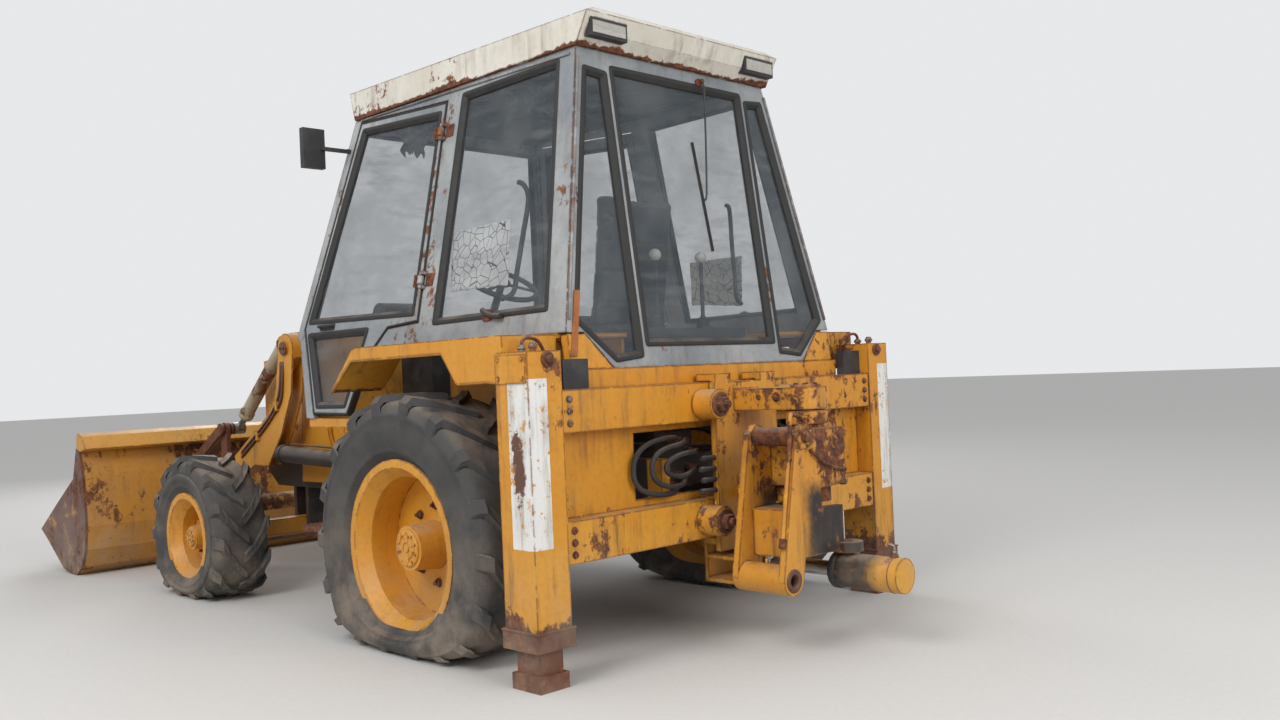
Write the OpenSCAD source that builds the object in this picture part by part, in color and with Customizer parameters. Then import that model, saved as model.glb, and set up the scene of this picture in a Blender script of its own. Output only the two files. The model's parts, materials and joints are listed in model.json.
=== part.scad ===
// Backhoe loader that stands parked on four flat tyres, its loader bucket on the
// ground and its boom, dipper and digging bucket taken off.
// X points forward, Y to the left, Z up. Lengths are millimetres. Places are
// written from the rear axle and the ground, and datum() moves the whole machine
// so that the middle of its footprint is the origin.

/* [Running gear] */
// Distance between the axles
wheelbase = 2170; // [2100:5:2240]
// Height of the rear axle on its flat tyres
rear_axle_z = 441; // [430:1:450]
// Height of the front axle on its flat tyres
front_axle_z = 328; // [320:1:336]
// Rear tyre radius at its tread
rear_tread_r = 630; // [615:1:640]
// Rear tyre width over its sidewalls
rear_tyre_w = 430; // [410:1:440]
// Rear rim flange radius
rear_flange_r = 381; // [370:1:395]
// Rear rim width over its flanges
rear_rim_w = 370; // [350:1:380]
// Outer face of the rear rim from the middle of the machine
rear_flange_y = 1114; // [1105:1:1120]
// Front tyre radius at its tread
front_tread_r = 430; // [420:1:440]
// Front tyre width over its sidewalls
front_tyre_w = 320; // [300:1:330]
// Front rim flange radius
front_flange_r = 254; // [245:1:262]
// Front rim width over its flanges
front_rim_w = 280; // [265:1:285]
// Outer face of the front rim from the middle of the machine
front_flange_y = 1087; // [1080:1:1095]
// Height of the tread lugs
lug_h = 28; // [22:1:30]
// Kingpin distance from the middle of the machine
kingpin_y = 792; // [785:1:800]
// Length of the steering arms
steer_arm_l = 160; // [150:1:170]

/* [Chassis] */
// Outer face of the chassis rails
rail_y = 380; // [370:1:390]
// Thickness of the chassis rails
rail_t = 30; // [20:1:40]
// Underside of the chassis rails
rail_z0 = 545; // [545:1:560]
// Top of the chassis rails
rail_z1 = 780; // [760:1:790]
// Rear end of the chassis rails
rail_x0 = -760; // [-765:1:-740]
// Front end of the chassis rails
rail_x1 = 2560; // [2500:1:2600]

/* [Bonnet] */
// Half width of the bonnet
bonnet_hw = 395; // [385:1:398]
// Rear end of the bonnet
bonnet_x0 = 1330; // [1320:1:1345]
// Front end of the bonnet
bonnet_x1 = 2540; // [2500:1:2555]
// Top of the bonnet at its rear end
bonnet_z = 1420; // [1380:1:1440]
// Sheet thickness of the bonnet
bonnet_t = 25; // [18:1:30]

/* [Cab] */
// Half width of the cab at the reference height
cab_top_y = 613; // [605:1:620]
// Reference height of the cab, at its upper frame
cab_ref_z = 2464; // [2455:1:2470]
// Lean of the cab sides in degrees
cab_lean = 11.94; // [11.5:0.1:12.4]
// Lean of the rear face in degrees
rear_lean = 7.2; // [6.8:0.1:7.6]
// Lean of the windscreen in degrees
front_lean = 13.66; // [13:0.1:14]
// Thickness of the cab posts and door frames
post_t = 40; // [34:1:45]
// Glass thickness
glass_t = 6; // [5:1:8]
// Top of the roof
roof_z = 2670; // [2650:1:2690]

/* [Fenders] */
// Top of the fenders
fender_z = 1304; // [1295:1:1315]
// Outer edge of the fenders
fender_y = 1130; // [1125:1:1140]
// Sheet thickness of the fenders
fender_t = 12; // [8:1:16]

/* [Back frame] */
// Rear face of the rails that the carriage slides on
slide_x = -950; // [-955:1:-940]
// Depth of the rails that the carriage slides on
slide_d = 100; // [90:1:110]
// Top of the upper slide rail
slide_top_z = 1090; // [1085:1:1095]
// Height of each slide rail
slide_h = 160; // [150:1:165]
// Underside of the lower slide rail
slide_low_z = 442; // [438:1:450]
// Outer face of the stabiliser housings
stab_y = 1165; // [1160:1:1170]
// Width of a stabiliser housing
stab_w = 163; // [155:1:170]
// Depth of a stabiliser housing
stab_d = 185; // [180:1:190]
// Rear face of the stabiliser housings
stab_x = -957; // [-960:1:-952]
// Top of the stabiliser housings
stab_z1 = 1238; // [1225:1:1250]
// Underside of the stabiliser housings
stab_z0 = 150; // [145:1:160]

/* [Kingpost] */
// Place of the slew axis behind the rear axle
slew_x = -1300; // [-1305:1:-1295]
// Offset of the carriage to the right
carriage_y = -20; // [-25:1:-15]
// Half width of the carriage plate
carriage_hw = 205; // [195:1:215]
// Distance of the boom foot from the slew axis
boom_foot_l = 300; // [290:1:310]
// Height of the boom foot
boom_foot_z = 318; // [312:1:324]
// Distance of the boom ram pin from the slew axis
boom_ram_l = 205; // [200:1:212]
// Height of the boom ram pin
boom_ram_z = 865; // [858:1:872]
// Radius of the slew ram barrel
slew_ram_r = 70; // [64:1:72]

/* [Loader] */
// Loader arm pivot, forward of the rear axle
arm_x = 1880; // [1875:1:1885]
// Loader arm pivot height
arm_z = 1365; // [1360:1:1370]
// Inner face of a loader arm
arm_y0 = 520; // [515:1:525]
// Thickness of a loader arm
arm_w = 80; // [70:1:84]
// Bucket pivot, forward of the rear axle
bucket_x = 3372; // [3368:1:3376]
// Bucket pivot height
bucket_z = 205; // [202:1:208]
// Half width of the bucket
bucket_hw = 1180; // [1175:1:1190]
// Thickness of the bucket plates
bucket_t = 20; // [14:1:24]

/* [Fits] */
// Running clearance of pins in their bores, on the radius
run_gap = 0.05; // [0.02:0.01:0.09]
// Side clearance beside moving pieces
side_gap = 5; // [5:0.5:7]
// Gap left beside parts that seat on each other
seat_gap = 0.3; // [0.2:0.1:0.5]

/* [Hidden] */
$fn = 48;
eps = 1;
big = 6000;
bucket_tip_x = 4260;
slew_end_x = slew_x - 395;
mid_x = (bucket_tip_x + slew_end_x) / 2;

module datum() { translate([-mid_x, 0, 0]) children(); }
module both() { children(); mirror([0, 1, 0]) children(); }
// A shape drawn in X and Z, as thick as the stretch from y0 to y1
module slab(y0, y1) { translate([0, y1, 0]) rotate([90, 0, 0]) linear_extrude(y1 - y0) children(); }
// A round bar along Y
module ybar(x, z, y0, y1, r) { translate([x, y1, z]) rotate([90, 0, 0]) cylinder(h = y1 - y0, r = r); }
// A round bar along X
module xbar(x0, x1, y, z, r) { translate([x0, y, z]) rotate([0, 90, 0]) cylinder(h = x1 - x0, r = r); }
module box(x0, x1, y0, y1, z0, z1) { translate([x0, y0, z0]) cube([x1 - x0, y1 - y0, z1 - z0]); }
// A bar of round section between two points in the XZ plane of a given y
module rodxz(p, q, y, r, a = 0, b = 1) {
    v = q - p;
    l = norm(v);
    translate([p[0], y, p[1]]) rotate([0, 90 - atan2(v[1], v[0]), 0]) translate([0, 0, a * l])
        cylinder(h = (b - a) * l, r = r);
}
// A hose through the points of a route, as rings joined by flat faces
module hose(route, r, sides = 10) {
    path = smooth(route);
    n = len(path);
    rings = [for (i = [0 : n - 1])
        let (t = unit(path[min(i + 1, n - 1)] - path[max(i - 1, 0)]), u = unit(cross(t, [1, 1, 1])), v = cross(t, u))
        for (k = [0 : sides - 1]) path[i] + r * (cos(360 * k / sides) * u + sin(360 * k / sides) * v)];
    walls = [for (i = [0 : n - 2], k = [0 : sides - 1], half = [0, 1])
        let (a = i * sides + k, b = i * sides + (k + 1) % sides)
        half == 0 ? [a, b, b + sides] : [a, b + sides, a + sides]];
    ends = [[for (k = [sides - 1 : -1 : 0]) k], [for (k = [0 : sides - 1]) (n - 1) * sides + k]];
    polyhedron(rings, concat(walls, ends));
}
function unit(v) = v / norm(v);
function between(a, b, c, d, t) = b + 0.5 * t * (c - a + t * (2 * a - 5 * b + 4 * c - d + t * (3 * (b - c) + d - a)));
function smooth(route) = let (m = len(route) - 1) concat([for (i = [0 : m - 1], t = [0, 0.5])
    between(route[max(i - 1, 0)], route[i], route[i + 1], route[min(i + 2, m)], t)], [route[m]]);
// A half outline, listed from the bottom up, with its mirror image
function mirrored(half) = concat([for (q = half) [-q[0], q[1]]], [for (i = [len(half) - 1 : -1 : 0]) half[i]]);
// The outline pts, listed clockwise, moved outward by d
function grown(pts, d) = [for (i = [0 : len(pts) - 1])
    let (u = unit(pts[i] - pts[(i + len(pts) - 1) % len(pts)]), v = unit(pts[(i + 1) % len(pts)] - pts[i]))
    pts[i] + [-u[1] - v[1], u[0] + v[0]] * d / (1 + u * v)];
// A ring of given section about the Y axis of a wheel
module turned(x, y, z) { translate([x, y, z]) rotate([-90, 0, 0]) rotate_extrude($fn = 64) children(); }

yellow = [0.86, 0.56, 0.08];
rust = [0.36, 0.2, 0.12];
black = [0.09, 0.09, 0.09];
steel = [0.55, 0.56, 0.57];
glass_c = [0.6, 0.75, 0.78, 0.4];
frame_grey = [0.5, 0.56, 0.6];
cream = [0.8, 0.76, 0.66];

// Wheels
rear_c_y = rear_flange_y - rear_rim_w / 2;
front_c_y = front_flange_y - front_rim_w / 2;
rear_stub_r = 60;
front_stub_r = 32;
flange_t = 12;
bead_drop = 25;

// Half of a rim's section: barrel, flanges, disc and hub, about the wheel's middle plane
module rim(x, z, side, flange_y, w, fr, disc_y, hub_r, hub_out, stub_r) {
    c = flange_y - w / 2;
    well = fr - bead_drop - 40;
    translate([x, 0, z]) scale_side(side) translate([0, c, 0]) rotate([-90, 0, 0]) rotate_extrude($fn = 64)
        difference() {
            polygon([[stub_r + run_gap, disc_y - 60], [hub_r, disc_y - 60], [hub_r, disc_y - 12],
                [well - 12, disc_y - 12], [well - 12, -w / 2 + 60],
                [fr - bead_drop - 10, -w / 2], [fr, -w / 2], [fr, -w / 2 + flange_t],
                [fr - bead_drop, -w / 2 + flange_t], [fr - bead_drop, -w / 2 + 62],
                [well, -w / 2 + 90], [well, w / 2 - 90], [fr - bead_drop, w / 2 - 62],
                [fr - bead_drop, w / 2 - flange_t], [fr, w / 2 - flange_t], [fr, w / 2],
                [fr - bead_drop - 10, w / 2], [well - 12, w / 2 - 60], [well - 12, disc_y + 6],
                [hub_r + 40, disc_y + 6], [hub_r, disc_y + 20], [hub_r - 10, hub_out],
                [stub_r + run_gap, hub_out]]);
        }
}
module scale_side(side) { if (side > 0) children(); else mirror([0, 1, 0]) children(); }

// A tyre gone flat: round above, cut by the ground below
module tyre(x, z, side, flange_y, w, fr, tw, tr) {
    c = flange_y - w / 2;
    bead_r = fr - bead_drop;
    in_w = w / 2 - flange_t;
    well = bead_r - 40;
    difference() {
        translate([x, 0, z]) scale_side(side) translate([0, c, 0]) union() {
            rotate([-90, 0, 0]) rotate_extrude($fn = 64)
                polygon([[bead_r, -in_w], [fr + 4, -in_w], [fr + 30, -tw / 2 + 12], [(fr + tr) / 2, -tw / 2],
                    [tr - 60, -tw / 2 + 6], [tr + lug_h, -tw / 2 + 30], [tr + lug_h, tw / 2 - 30],
                    [tr - 60, tw / 2 - 6], [(fr + tr) / 2, tw / 2], [fr + 30, tw / 2 - 12], [fr + 4, in_w],
                    [bead_r, in_w]]);
        }
        box(x - big / 2, x + big / 2, -big, big, -big, 0);
    }
}
module rim_rear(side) { color(yellow) rim(0, rear_axle_z, side, rear_flange_y, rear_rim_w, rear_flange_r,
    -20, 105, 135, rear_stub_r); }
module tyre_rear(side) { color(black) tyre(0, rear_axle_z, side, rear_flange_y, rear_rim_w, rear_flange_r,
    rear_tyre_w, rear_tread_r); }
module rim_front(side) { color(yellow) rim(wheelbase, front_axle_z, side, front_flange_y, front_rim_w,
    front_flange_r, 0, 75, 105, front_stub_r); }
module tyre_front(side) { color(black) tyre(wheelbase, front_axle_z, side, front_flange_y, front_rim_w,
    front_flange_r, front_tyre_w, front_tread_r); }

// Axles and steering
axle_r = 80;
module rear_axle() {
    color(black) {
        both() {
            ybar(0, rear_axle_z, 0, rear_c_y - 140, axle_r);
            ybar(0, rear_axle_z, rear_c_y - 160, rear_c_y - 85, 120);
            ybar(0, rear_axle_z, 500, rear_c_y + 110, rear_stub_r);
            box(-90, 90, rail_y - rail_t - 20, rail_y + 10, rear_axle_z, rail_z0);
        }
        xbar(-150, 190, 0, rear_axle_z, 130);
    }
}
beam_h = 90;
king_boss_r = 40;
king_pin_r = 20;
module front_axle() {
    color(yellow) difference() {
        union() {
            box(wheelbase - 45, wheelbase + 45, -kingpin_y, kingpin_y, front_axle_z - beam_h / 2,
                front_axle_z + beam_h / 2);
            box(wheelbase - 55, wheelbase + 55, -90, 90, front_axle_z - 60, front_axle_z + 110);
            both() translate([wheelbase, kingpin_y, front_axle_z - 55]) cylinder(h = 110, r = king_boss_r);
        }
        both() translate([wheelbase, kingpin_y, front_axle_z - 100])
            cylinder(h = 200, r = king_pin_r + run_gap);
    }
}
fork_t = 16;
fork_z = 55 + 5;
module knuckle(side) {
    color(yellow) scale_side(side) translate([wheelbase, kingpin_y, front_axle_z]) {
        for (s = [-1, 1]) translate([0, 0, s * (fork_z + fork_t / 2) - fork_t / 2]) {
            cylinder(h = fork_t, r = king_boss_r);
            box(-king_boss_r, king_boss_r, 0, 62, 0, fork_t);
        }
        translate([0, 0, -fork_z - fork_t]) cylinder(h = 2 * (fork_z + fork_t), r = king_pin_r);
        box(-king_boss_r, king_boss_r, 46, 62, -fork_z - fork_t, fork_z + fork_t);
        ybar(0, 0, 60, front_c_y - kingpin_y + 95, front_stub_r);
        box(-steer_arm_l, -king_boss_r + 20, -18, 18, -fork_z - fork_t, -fork_z);
        translate([-steer_arm_l, 0, -fork_z - fork_t]) cylinder(h = fork_t, r = 26);
        translate([-steer_arm_l, 0, -fork_z - eps]) cylinder(h = 30, r = 10);
    }
}
tie_z = front_axle_z - fork_z + 1;
module tie_rod() {
    color(steel) difference() {
        union() {
            ybar(wheelbase - steer_arm_l, tie_z + 12, -kingpin_y, kingpin_y, 11);
            for (s = [-1, 1]) translate([wheelbase - steer_arm_l, s * kingpin_y, tie_z]) cylinder(h = 24, r = 24);
        }
        for (s = [-1, 1]) translate([wheelbase - steer_arm_l, s * kingpin_y, tie_z - 20])
            cylinder(h = 80, r = 10 + run_gap);
    }
}

// Chassis
module main_frame() {
    color(black) {
        both() slab(rail_y - rail_t, rail_y)
            polygon([[rail_x0, rail_z0], [rail_x1 - 120, rail_z0], [rail_x1, rail_z0 + 90], [rail_x1, rail_z1],
                [rail_x0, rail_z1]]);
        box(hose_x, rail_x0 + eps, 140, 330, 646, 890);
        for (h = hoses, e = [h[0], h[len(h) - 1]]) xbar(hose_x - 20, hose_x + eps, e[1], e[2], 17);
        for (x = [rail_x0, 420, rail_x1 - 40]) box(x, x + 40, -rail_y + eps, rail_y - eps, rail_z0 + 100, rail_z1);
        for (x = [wheelbase - 85, wheelbase + 55]) box(x, x + 30, -rail_y + eps, rail_y - eps,
            front_axle_z - 20, rail_z0 + 60);
    }
}
module engine() {
    color(rust) {
        box(1480, 2330, -220, 220, rail_z0 + 60, 1180);
        box(460, 1480, -190, 190, rail_z0 - 60, 900);
        for (x = [700, 1600, 1980]) box(x, x + 60, -rail_y + rail_t, rail_y - rail_t, rail_z0 + 70, rail_z0 + 130);
    }
}
function bonnet_top(x) = bonnet_z - 110 * (x - bonnet_x0) / (bonnet_x1 - bonnet_x0);
module bonnet_profile(inset) {
    z_front = bonnet_z - 110;
    polygon([[bonnet_x0 - (inset > 0 ? 10 : 0), rail_z1 - (inset > 0 ? 10 : 0)], [bonnet_x1 + (inset > 0 ? 10 : 0),
        rail_z1 - (inset > 0 ? 10 : 0)], [bonnet_x1 + (inset > 0 ? 10 : 0), z_front - inset],
        [bonnet_x0 - (inset > 0 ? 10 : 0), bonnet_z - inset]]);
}
module bonnet() {
    color(yellow) difference() {
        slab(-bonnet_hw, bonnet_hw) bonnet_profile(0);
        slab(-bonnet_hw + bonnet_t, bonnet_hw - bonnet_t) bonnet_profile(bonnet_t);
    }
}
module grille() {
    z1 = bonnet_z - 110 - bonnet_t;
    color(black) {
        difference() {
            box(bonnet_x1 - 30, bonnet_x1, -bonnet_hw + bonnet_t, bonnet_hw - bonnet_t, rail_z1, z1);
            box(bonnet_x1 - 40, bonnet_x1 + 10, -bonnet_hw + bonnet_t + 30, bonnet_hw - bonnet_t - 30,
                rail_z1 + 30, z1 - 30);
        }
        for (z = [rail_z1 + 60 : 45 : z1 - 40]) box(bonnet_x1 - 25, bonnet_x1 - 5, -bonnet_hw + bonnet_t + 20,
            bonnet_hw - bonnet_t - 20, z, z + 14);
    }
}

// Loader
tower_y0 = bonnet_hw + side_gap;
tower_t = 25;
pivot_r = 35;
tilt_x = 2116;
tilt_z = 1406;
tilt_y = tower_y0 + 72;
lift_x = 1265;
lift_z = 735;
lift_y = arm_y0 + arm_w / 2;
lift_eye = [2248, 767];
lever_k = [2760, 560];
lever_l = [2751, 900];
link_e = [3390, 560];
eye_w = 50;
module loader_towers() {
    color(yellow) both() {
        difference() {
            union() {
                slab(tower_y0, tower_y0 + tower_t)
                    polygon([[1620, rail_z0 + 40], [2060, rail_z0 + 40], [2040, 900], [2010, 1180],
                        [tilt_x + 60, 1340], [tilt_x + 60, 1466], [arm_x - 80, 1466], [1790, 1180], [1740, 860]]);
                box(1640, 2040, rail_y, tower_y0 + eps, rail_z0 + 40, rail_z1 - 20);
                ybar(arm_x, arm_z, tower_y0 + tower_t - eps, arm_y0 - side_gap, 70);
                ybar(arm_x, arm_z, tower_y0 + tower_t - eps, arm_y0 + arm_w + 12, pivot_r);
                ybar(tilt_x, tilt_z, tower_y0 + tower_t - eps, tilt_y + 45, 22);
            }
        }
        // Brackets that carry the lift rams
        box(lift_x - 150, lift_x - 90, rail_y, lift_y + eye_w / 2 + side_gap + 15, lift_z - 70, lift_z + 70 - 40);
        for (y = [lift_y - eye_w / 2 - side_gap - 15, lift_y + eye_w / 2 + side_gap])
            slab(y, y + 15) polygon([[lift_x - 100, lift_z - 70], [lift_x + 20, lift_z - 50], [lift_x + 45, lift_z],
                [lift_x + 20, lift_z + 30], [lift_x - 100, lift_z + 30]]);
        ybar(lift_x, lift_z, lift_y - eye_w / 2 - side_gap - 14, lift_y + eye_w / 2 + side_gap + 14, 24);
    }
}
module arm_outline() {
    translate([arm_x, arm_z]) circle(r = 85);
    translate([bucket_x, bucket_z]) circle(r = 65);
    polygon([[1797, 1345], [1830, 1110], [1960, 880], [2130, 690], [2300, 690], [2508, 606], [3335, 152],
        [3412, 255], [2617, 705], [2110, 990], [2020, 1080], [1962, 1345]]);
}
// Room for the lift ram between the skins of an arm
module ram_room() {
    e = lift_eye;
    translate(e) circle(r = 75);
    polygon([e + [30, -75], e + [-400, -90], e + [-400, 60], e + [-500, 420], e + [-435, 560], e + [60, 70]]);
}
module lever_room() {
    polygon([lever_k + [-60, 0], lever_k + [0, -60], lever_k + [380, -190], lever_k + [420, 100],
        lever_k + [-150, 260], lever_k + [-150, 60]]);
    translate(lever_k) circle(r = 62);
}
skin = 12;
module loader_arms() {
    color(yellow) {
        both() difference() {
            slab(arm_y0, arm_y0 + arm_w) arm_outline();
            ybar(arm_x, arm_z, arm_y0 - eps, arm_y0 + arm_w + eps, pivot_r + run_gap);
            ybar(bucket_x, bucket_z, arm_y0 - eps, arm_y0 + arm_w + eps, 28 + run_gap);
            slab(arm_y0 + skin - 2, arm_y0 + arm_w - skin + 2) ram_room();
            slab(arm_y0 + 22, arm_y0 + arm_w - 22) lever_room();
        }
        both() ybar(lever_k[0], lever_k[1], arm_y0 + eps, arm_y0 + arm_w - eps, 22);
        ybar(2950, 395, -arm_y0 - eps, arm_y0 + eps, 55);
    }
}
lever_t = 26;
module lever_plate() {
    difference() {
        union() {
            translate(lever_k) circle(r = 48);
            translate(lever_l) circle(r = 40);
            polygon([lever_k + [-45, 0], lever_k + [45, 0], lever_l + [38, 0], lever_l + [-38, 0]]);
        }
        translate(lever_k) circle(r = 22 + run_gap);
    }
}
module tilt_levers() {
    color(rust) both() {
        slab(lift_y - lever_t / 2, lift_y + lever_t / 2) lever_plate();
        ybar(lever_l[0], lever_l[1], arm_y0 - 2, arm_y0 + arm_w + 2, 20);
    }
}
link_t = 18;
module link_plate() {
    v = link_e - lever_l;
    u = v / norm(v);
    n = [-u[1], u[0]];
    difference() {
        union() {
            translate(lever_l) circle(r = 36);
            translate(link_e) circle(r = 36);
            polygon([lever_l + n * 30, lever_l - n * 30, link_e - n * 30, link_e + n * 30]);
        }
        translate(lever_l) circle(r = 20 + run_gap);
    }
}
module tilt_links() {
    color(rust) both() {
        for (y = [arm_y0, arm_y0 + arm_w - link_t]) slab(y, y + link_t) link_plate();
        ybar(link_e[0] - 60 * cos(28), link_e[1] + 60 * sin(28), arm_y0 + link_t - eps, arm_y0 + arm_w - link_t + eps, 12);
    }
}
bucket_side = [[3548, 812], [3619, 616], [3936, 442], [4260, 256], [4141, 194], [3851, 25], [3700, 0], [3624, 0],
    [3520, 60], [3455, 170], [3428, 319], [3440, 500], [3454, 642], [3468, 708], [3500, 800]];
bucket_in = [[3560, 840], [3545, 700], [3480, 640], [3460, 500], [3450, 325], [3476, 182], [3535, 82], [3630, 22],
    [3700, 22], [3845, 46], [4135, 216], [4300, 300], [4400, 900]];
module bucket() {
    color(yellow) {
        difference() {
            slab(-bucket_hw, bucket_hw) polygon(bucket_side);
            slab(-bucket_hw + bucket_t, bucket_hw - bucket_t) polygon(bucket_in);
        }
        both() {
            for (y = [arm_y0 - side_gap - 22, arm_y0 + arm_w + side_gap]) slab(y, y + 22) difference() {
                polygon([[3320, 240], [3330, 150], [3400, 130], [3520, 90], [3458, 330], [3462, 560],
                    [3462, 610], [3360, 610], [3350, 520]]);
            }
            ybar(bucket_x, bucket_z, arm_y0 - side_gap - 21, arm_y0 + arm_w + side_gap + 21, 28);
        }
    }
}
module lift_barrels() {
    p = [lift_x, lift_z];
    color(black) both() difference() {
        union() {
            ybar(lift_x, lift_z, lift_y - eye_w / 2, lift_y + eye_w / 2, 42);
            rodxz(p, lift_eye, lift_y, 48, 0.062, 0.78);
            rodxz(p, lift_eye, lift_y, 24, 0.03, 0.1);
        }
        ybar(lift_x, lift_z, lift_y - eye_w, lift_y + eye_w, 24 + run_gap);
        rodxz(p, lift_eye, lift_y, 26, 0.12, 0.8);
    }
}
module lift_rods() {
    p = [lift_x, lift_z];
    color(steel) both() {
        rodxz(p, lift_eye, lift_y, 25.5, 0.14, 0.985);
        ybar(lift_eye[0], lift_eye[1], lift_y - eye_w / 2, lift_y + eye_w / 2, 42);
    }
}
module tilt_barrels() {
    p = [tilt_x, tilt_z];
    color(black) both() difference() {
        union() {
            ybar(tilt_x, tilt_z, tilt_y - 30, tilt_y + 30, 40);
            rodxz(p, lever_l, tilt_y, 40, 0.04, 0.85);
        }
        ybar(tilt_x, tilt_z, tilt_y - eye_w, tilt_y + eye_w, 22 + run_gap);
        rodxz(p, lever_l, tilt_y, 21, 0.115, 0.9);
    }
}
module tilt_rods() {
    p = [tilt_x, tilt_z];
    color(steel) both() {
        rodxz(p, lever_l, tilt_y, 20.5, 0.213, 0.98);
        ybar(lever_l[0], lever_l[1], tilt_y - 30, arm_y0 - side_gap - 2, 36);
    }
}

// Cab
function up_side(z) = (z - cab_ref_z) / cos(cab_lean);
module on_side(d0, d1) {
    translate([0, cab_top_y, cab_ref_z]) rotate([90 + cab_lean, 0, 0]) translate([0, 0, d0])
        linear_extrude(d1 - d0) children();
}
module side_shape(pts) { polygon([for (p = pts) [p[0], up_side(p[1])]]); }
function side_y(z) = cab_top_y + (cab_ref_z - z) * tan(cab_lean);
rear_ref = [-685, 2430];
function up_rear(z) = (z - rear_ref[1]) / cos(rear_lean);
module on_rear(d0, d1) {
    translate([rear_ref[0], 0, rear_ref[1]]) rotate([0, rear_lean, 0]) rotate([90, 0, 90]) translate([0, 0, d0])
        linear_extrude(d1 - d0) children();
}
module rear_shape(pts) { polygon([for (p = pts) [p[0], up_rear(p[1])]]); }
front_ref = [1022, 2510];
function up_front(z) = (z - front_ref[1]) / cos(front_lean);
module on_front(d0, d1) {
    translate([front_ref[0], 0, front_ref[1]]) rotate([0, -front_lean, 0]) rotate([90, 0, -90])
        translate([0, 0, d0]) linear_extrude(d1 - d0) children();
}
module front_shape(pts) { polygon([for (p = pts) [p[0], up_front(p[1])]]); }
function rear_x(z) = rear_ref[0] + (z - rear_ref[1]) * tan(rear_lean);
function front_x(z) = front_ref[0] - (z - front_ref[1]) * tan(front_lean);

cab_z0 = 1310;
cab_z1 = 2500;
waist_z = 1436;
door_pts = [[205, 2440], [962, 2480], [1222, 1436], [1005, 1006], [691, 1001], [600, 1250], [440, 1400], [199, 1415]];
door_gap = 6;
side_win = [[75, 2443], [-574, 2452], [-690, 1412], [70, 1403]];
trim = 2;
door_low_x = 560;
post_foot_z = 985;
scuttle_z = waist_z - 30;
rear_low_z = 1165;
rear_win = [[-415, 1262], [415, 1262], [415, 2430], [-415, 2430]];
quarter_win = [[571, 2410], [794, 1361], [602, 1200], [460, 1215], [460, 2400]];
front_win = [[-760, 1460], [760, 1460], [560, 2450], [-560, 2450]];
over = 15;
hinge_x = 200;
hinge_off = 16;
hinge_zs = [2290, 1600];
hinge_pin_r = 7;
module on_side_at(x, z, out) {
    translate([0, cab_top_y, cab_ref_z]) rotate([90 + cab_lean, 0, 0]) translate([x, up_side(z), -out])
        rotate([-90, 0, 0]) children();
}
module cab_frame() {
    top = cab_z1 + over;
    low = cab_z0 - over;
    side_in = side_y(scuttle_z) - post_t / cos(cab_lean);
    color(frame_grey) {
        difference() {
            union() {
                both() on_side(0, post_t) difference() {
                    side_shape([[rear_x(low) + trim, low], [rear_x(top) + trim, top], [front_x(top) - trim, top],
                        [front_x(waist_z) - trim, waist_z], [1062, post_foot_z - over], [990, post_foot_z - over],
                        [1100, 1300], [door_low_x, 1325], [440, low]]);
                    side_shape(grown(door_pts, door_gap));
                    side_shape(side_win);
                }
                on_rear(0, post_t) difference() {
                    rear_shape(mirrored([[610, rear_low_z - over], [620, rear_low_z], [761, cab_z0],
                        [side_y(cab_z0) - trim, cab_z0], [side_y(top) - trim, top]]));
                    rear_shape(rear_win);
                    for (s = [-1, 1]) rear_shape([for (q = quarter_win) [s * q[0], q[1]]]);
                }
                on_front(0, post_t) difference() {
                    front_shape(mirrored([for (z = [scuttle_z - over, top]) [side_y(z) - trim, z]]));
                    front_shape(front_win);
                }
            }
            box(-big, big, -big, big, cab_z1, cab_z1 + 100);
            both() box(-big, door_low_x, 762, big, cab_z0 - 100, cab_z0);
            box(-big, -700, -640, 640, rear_low_z - 50, rear_low_z);
            box(1100, big, -side_in, side_in, scuttle_z - 50, scuttle_z);
            box(door_low_x, big, -big, big, post_foot_z - 100, post_foot_z);
        }
        both() for (z = hinge_zs) on_side_at(hinge_x, z, hinge_off) {
            translate([0, 0, -36]) cylinder(h = 72, r = hinge_pin_r);
            for (e = [-40, 24]) {
                translate([-22, -hinge_off, e]) cube([14, hinge_off + hinge_pin_r, 16]);
                translate([-22, -hinge_pin_r, e]) cube([22 + hinge_pin_r, 2 * hinge_pin_r, 16]);
            }
        }
    }
}
module cab_glass() {
    color(glass_c) {
        both() on_side(15, 15 + glass_t) side_shape(side_win);
        on_rear(15, 15 + glass_t) {
            rear_shape(rear_win);
            for (s = [-1, 1]) rear_shape([for (q = quarter_win) [s * q[0], q[1]]]);
        }
        on_front(15, 15 + glass_t) front_shape(front_win);
    }
}
door_win_up = [[250, 2390], [925, 2430], [1175, 1470], [250, 1455]];
door_win_low = [[620, 1400], [1165, 1400], [980, 1045], [725, 1045]];
module door(side) {
    color(frame_grey) scale_side(side) {
        on_side(0, post_t - 6) difference() {
            side_shape(door_pts);
            side_shape(door_win_up);
            side_shape(door_win_low);
        }
        for (z = hinge_zs) on_side_at(hinge_x, z, hinge_off) difference() {
            union() {
                translate([0, 0, -20]) cylinder(h = 40, r = 14);
                translate([0, -hinge_off, -20]) cube([60, 8, 40]);
            }
            translate([0, 0, -40]) cylinder(h = 80, r = hinge_pin_r + run_gap);
        }
    }
}
module door_glass(side) {
    color(glass_c) scale_side(side) on_side(14, 14 + glass_t) {
        side_shape(door_win_up);
        side_shape(door_win_low);
    }
}
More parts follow.
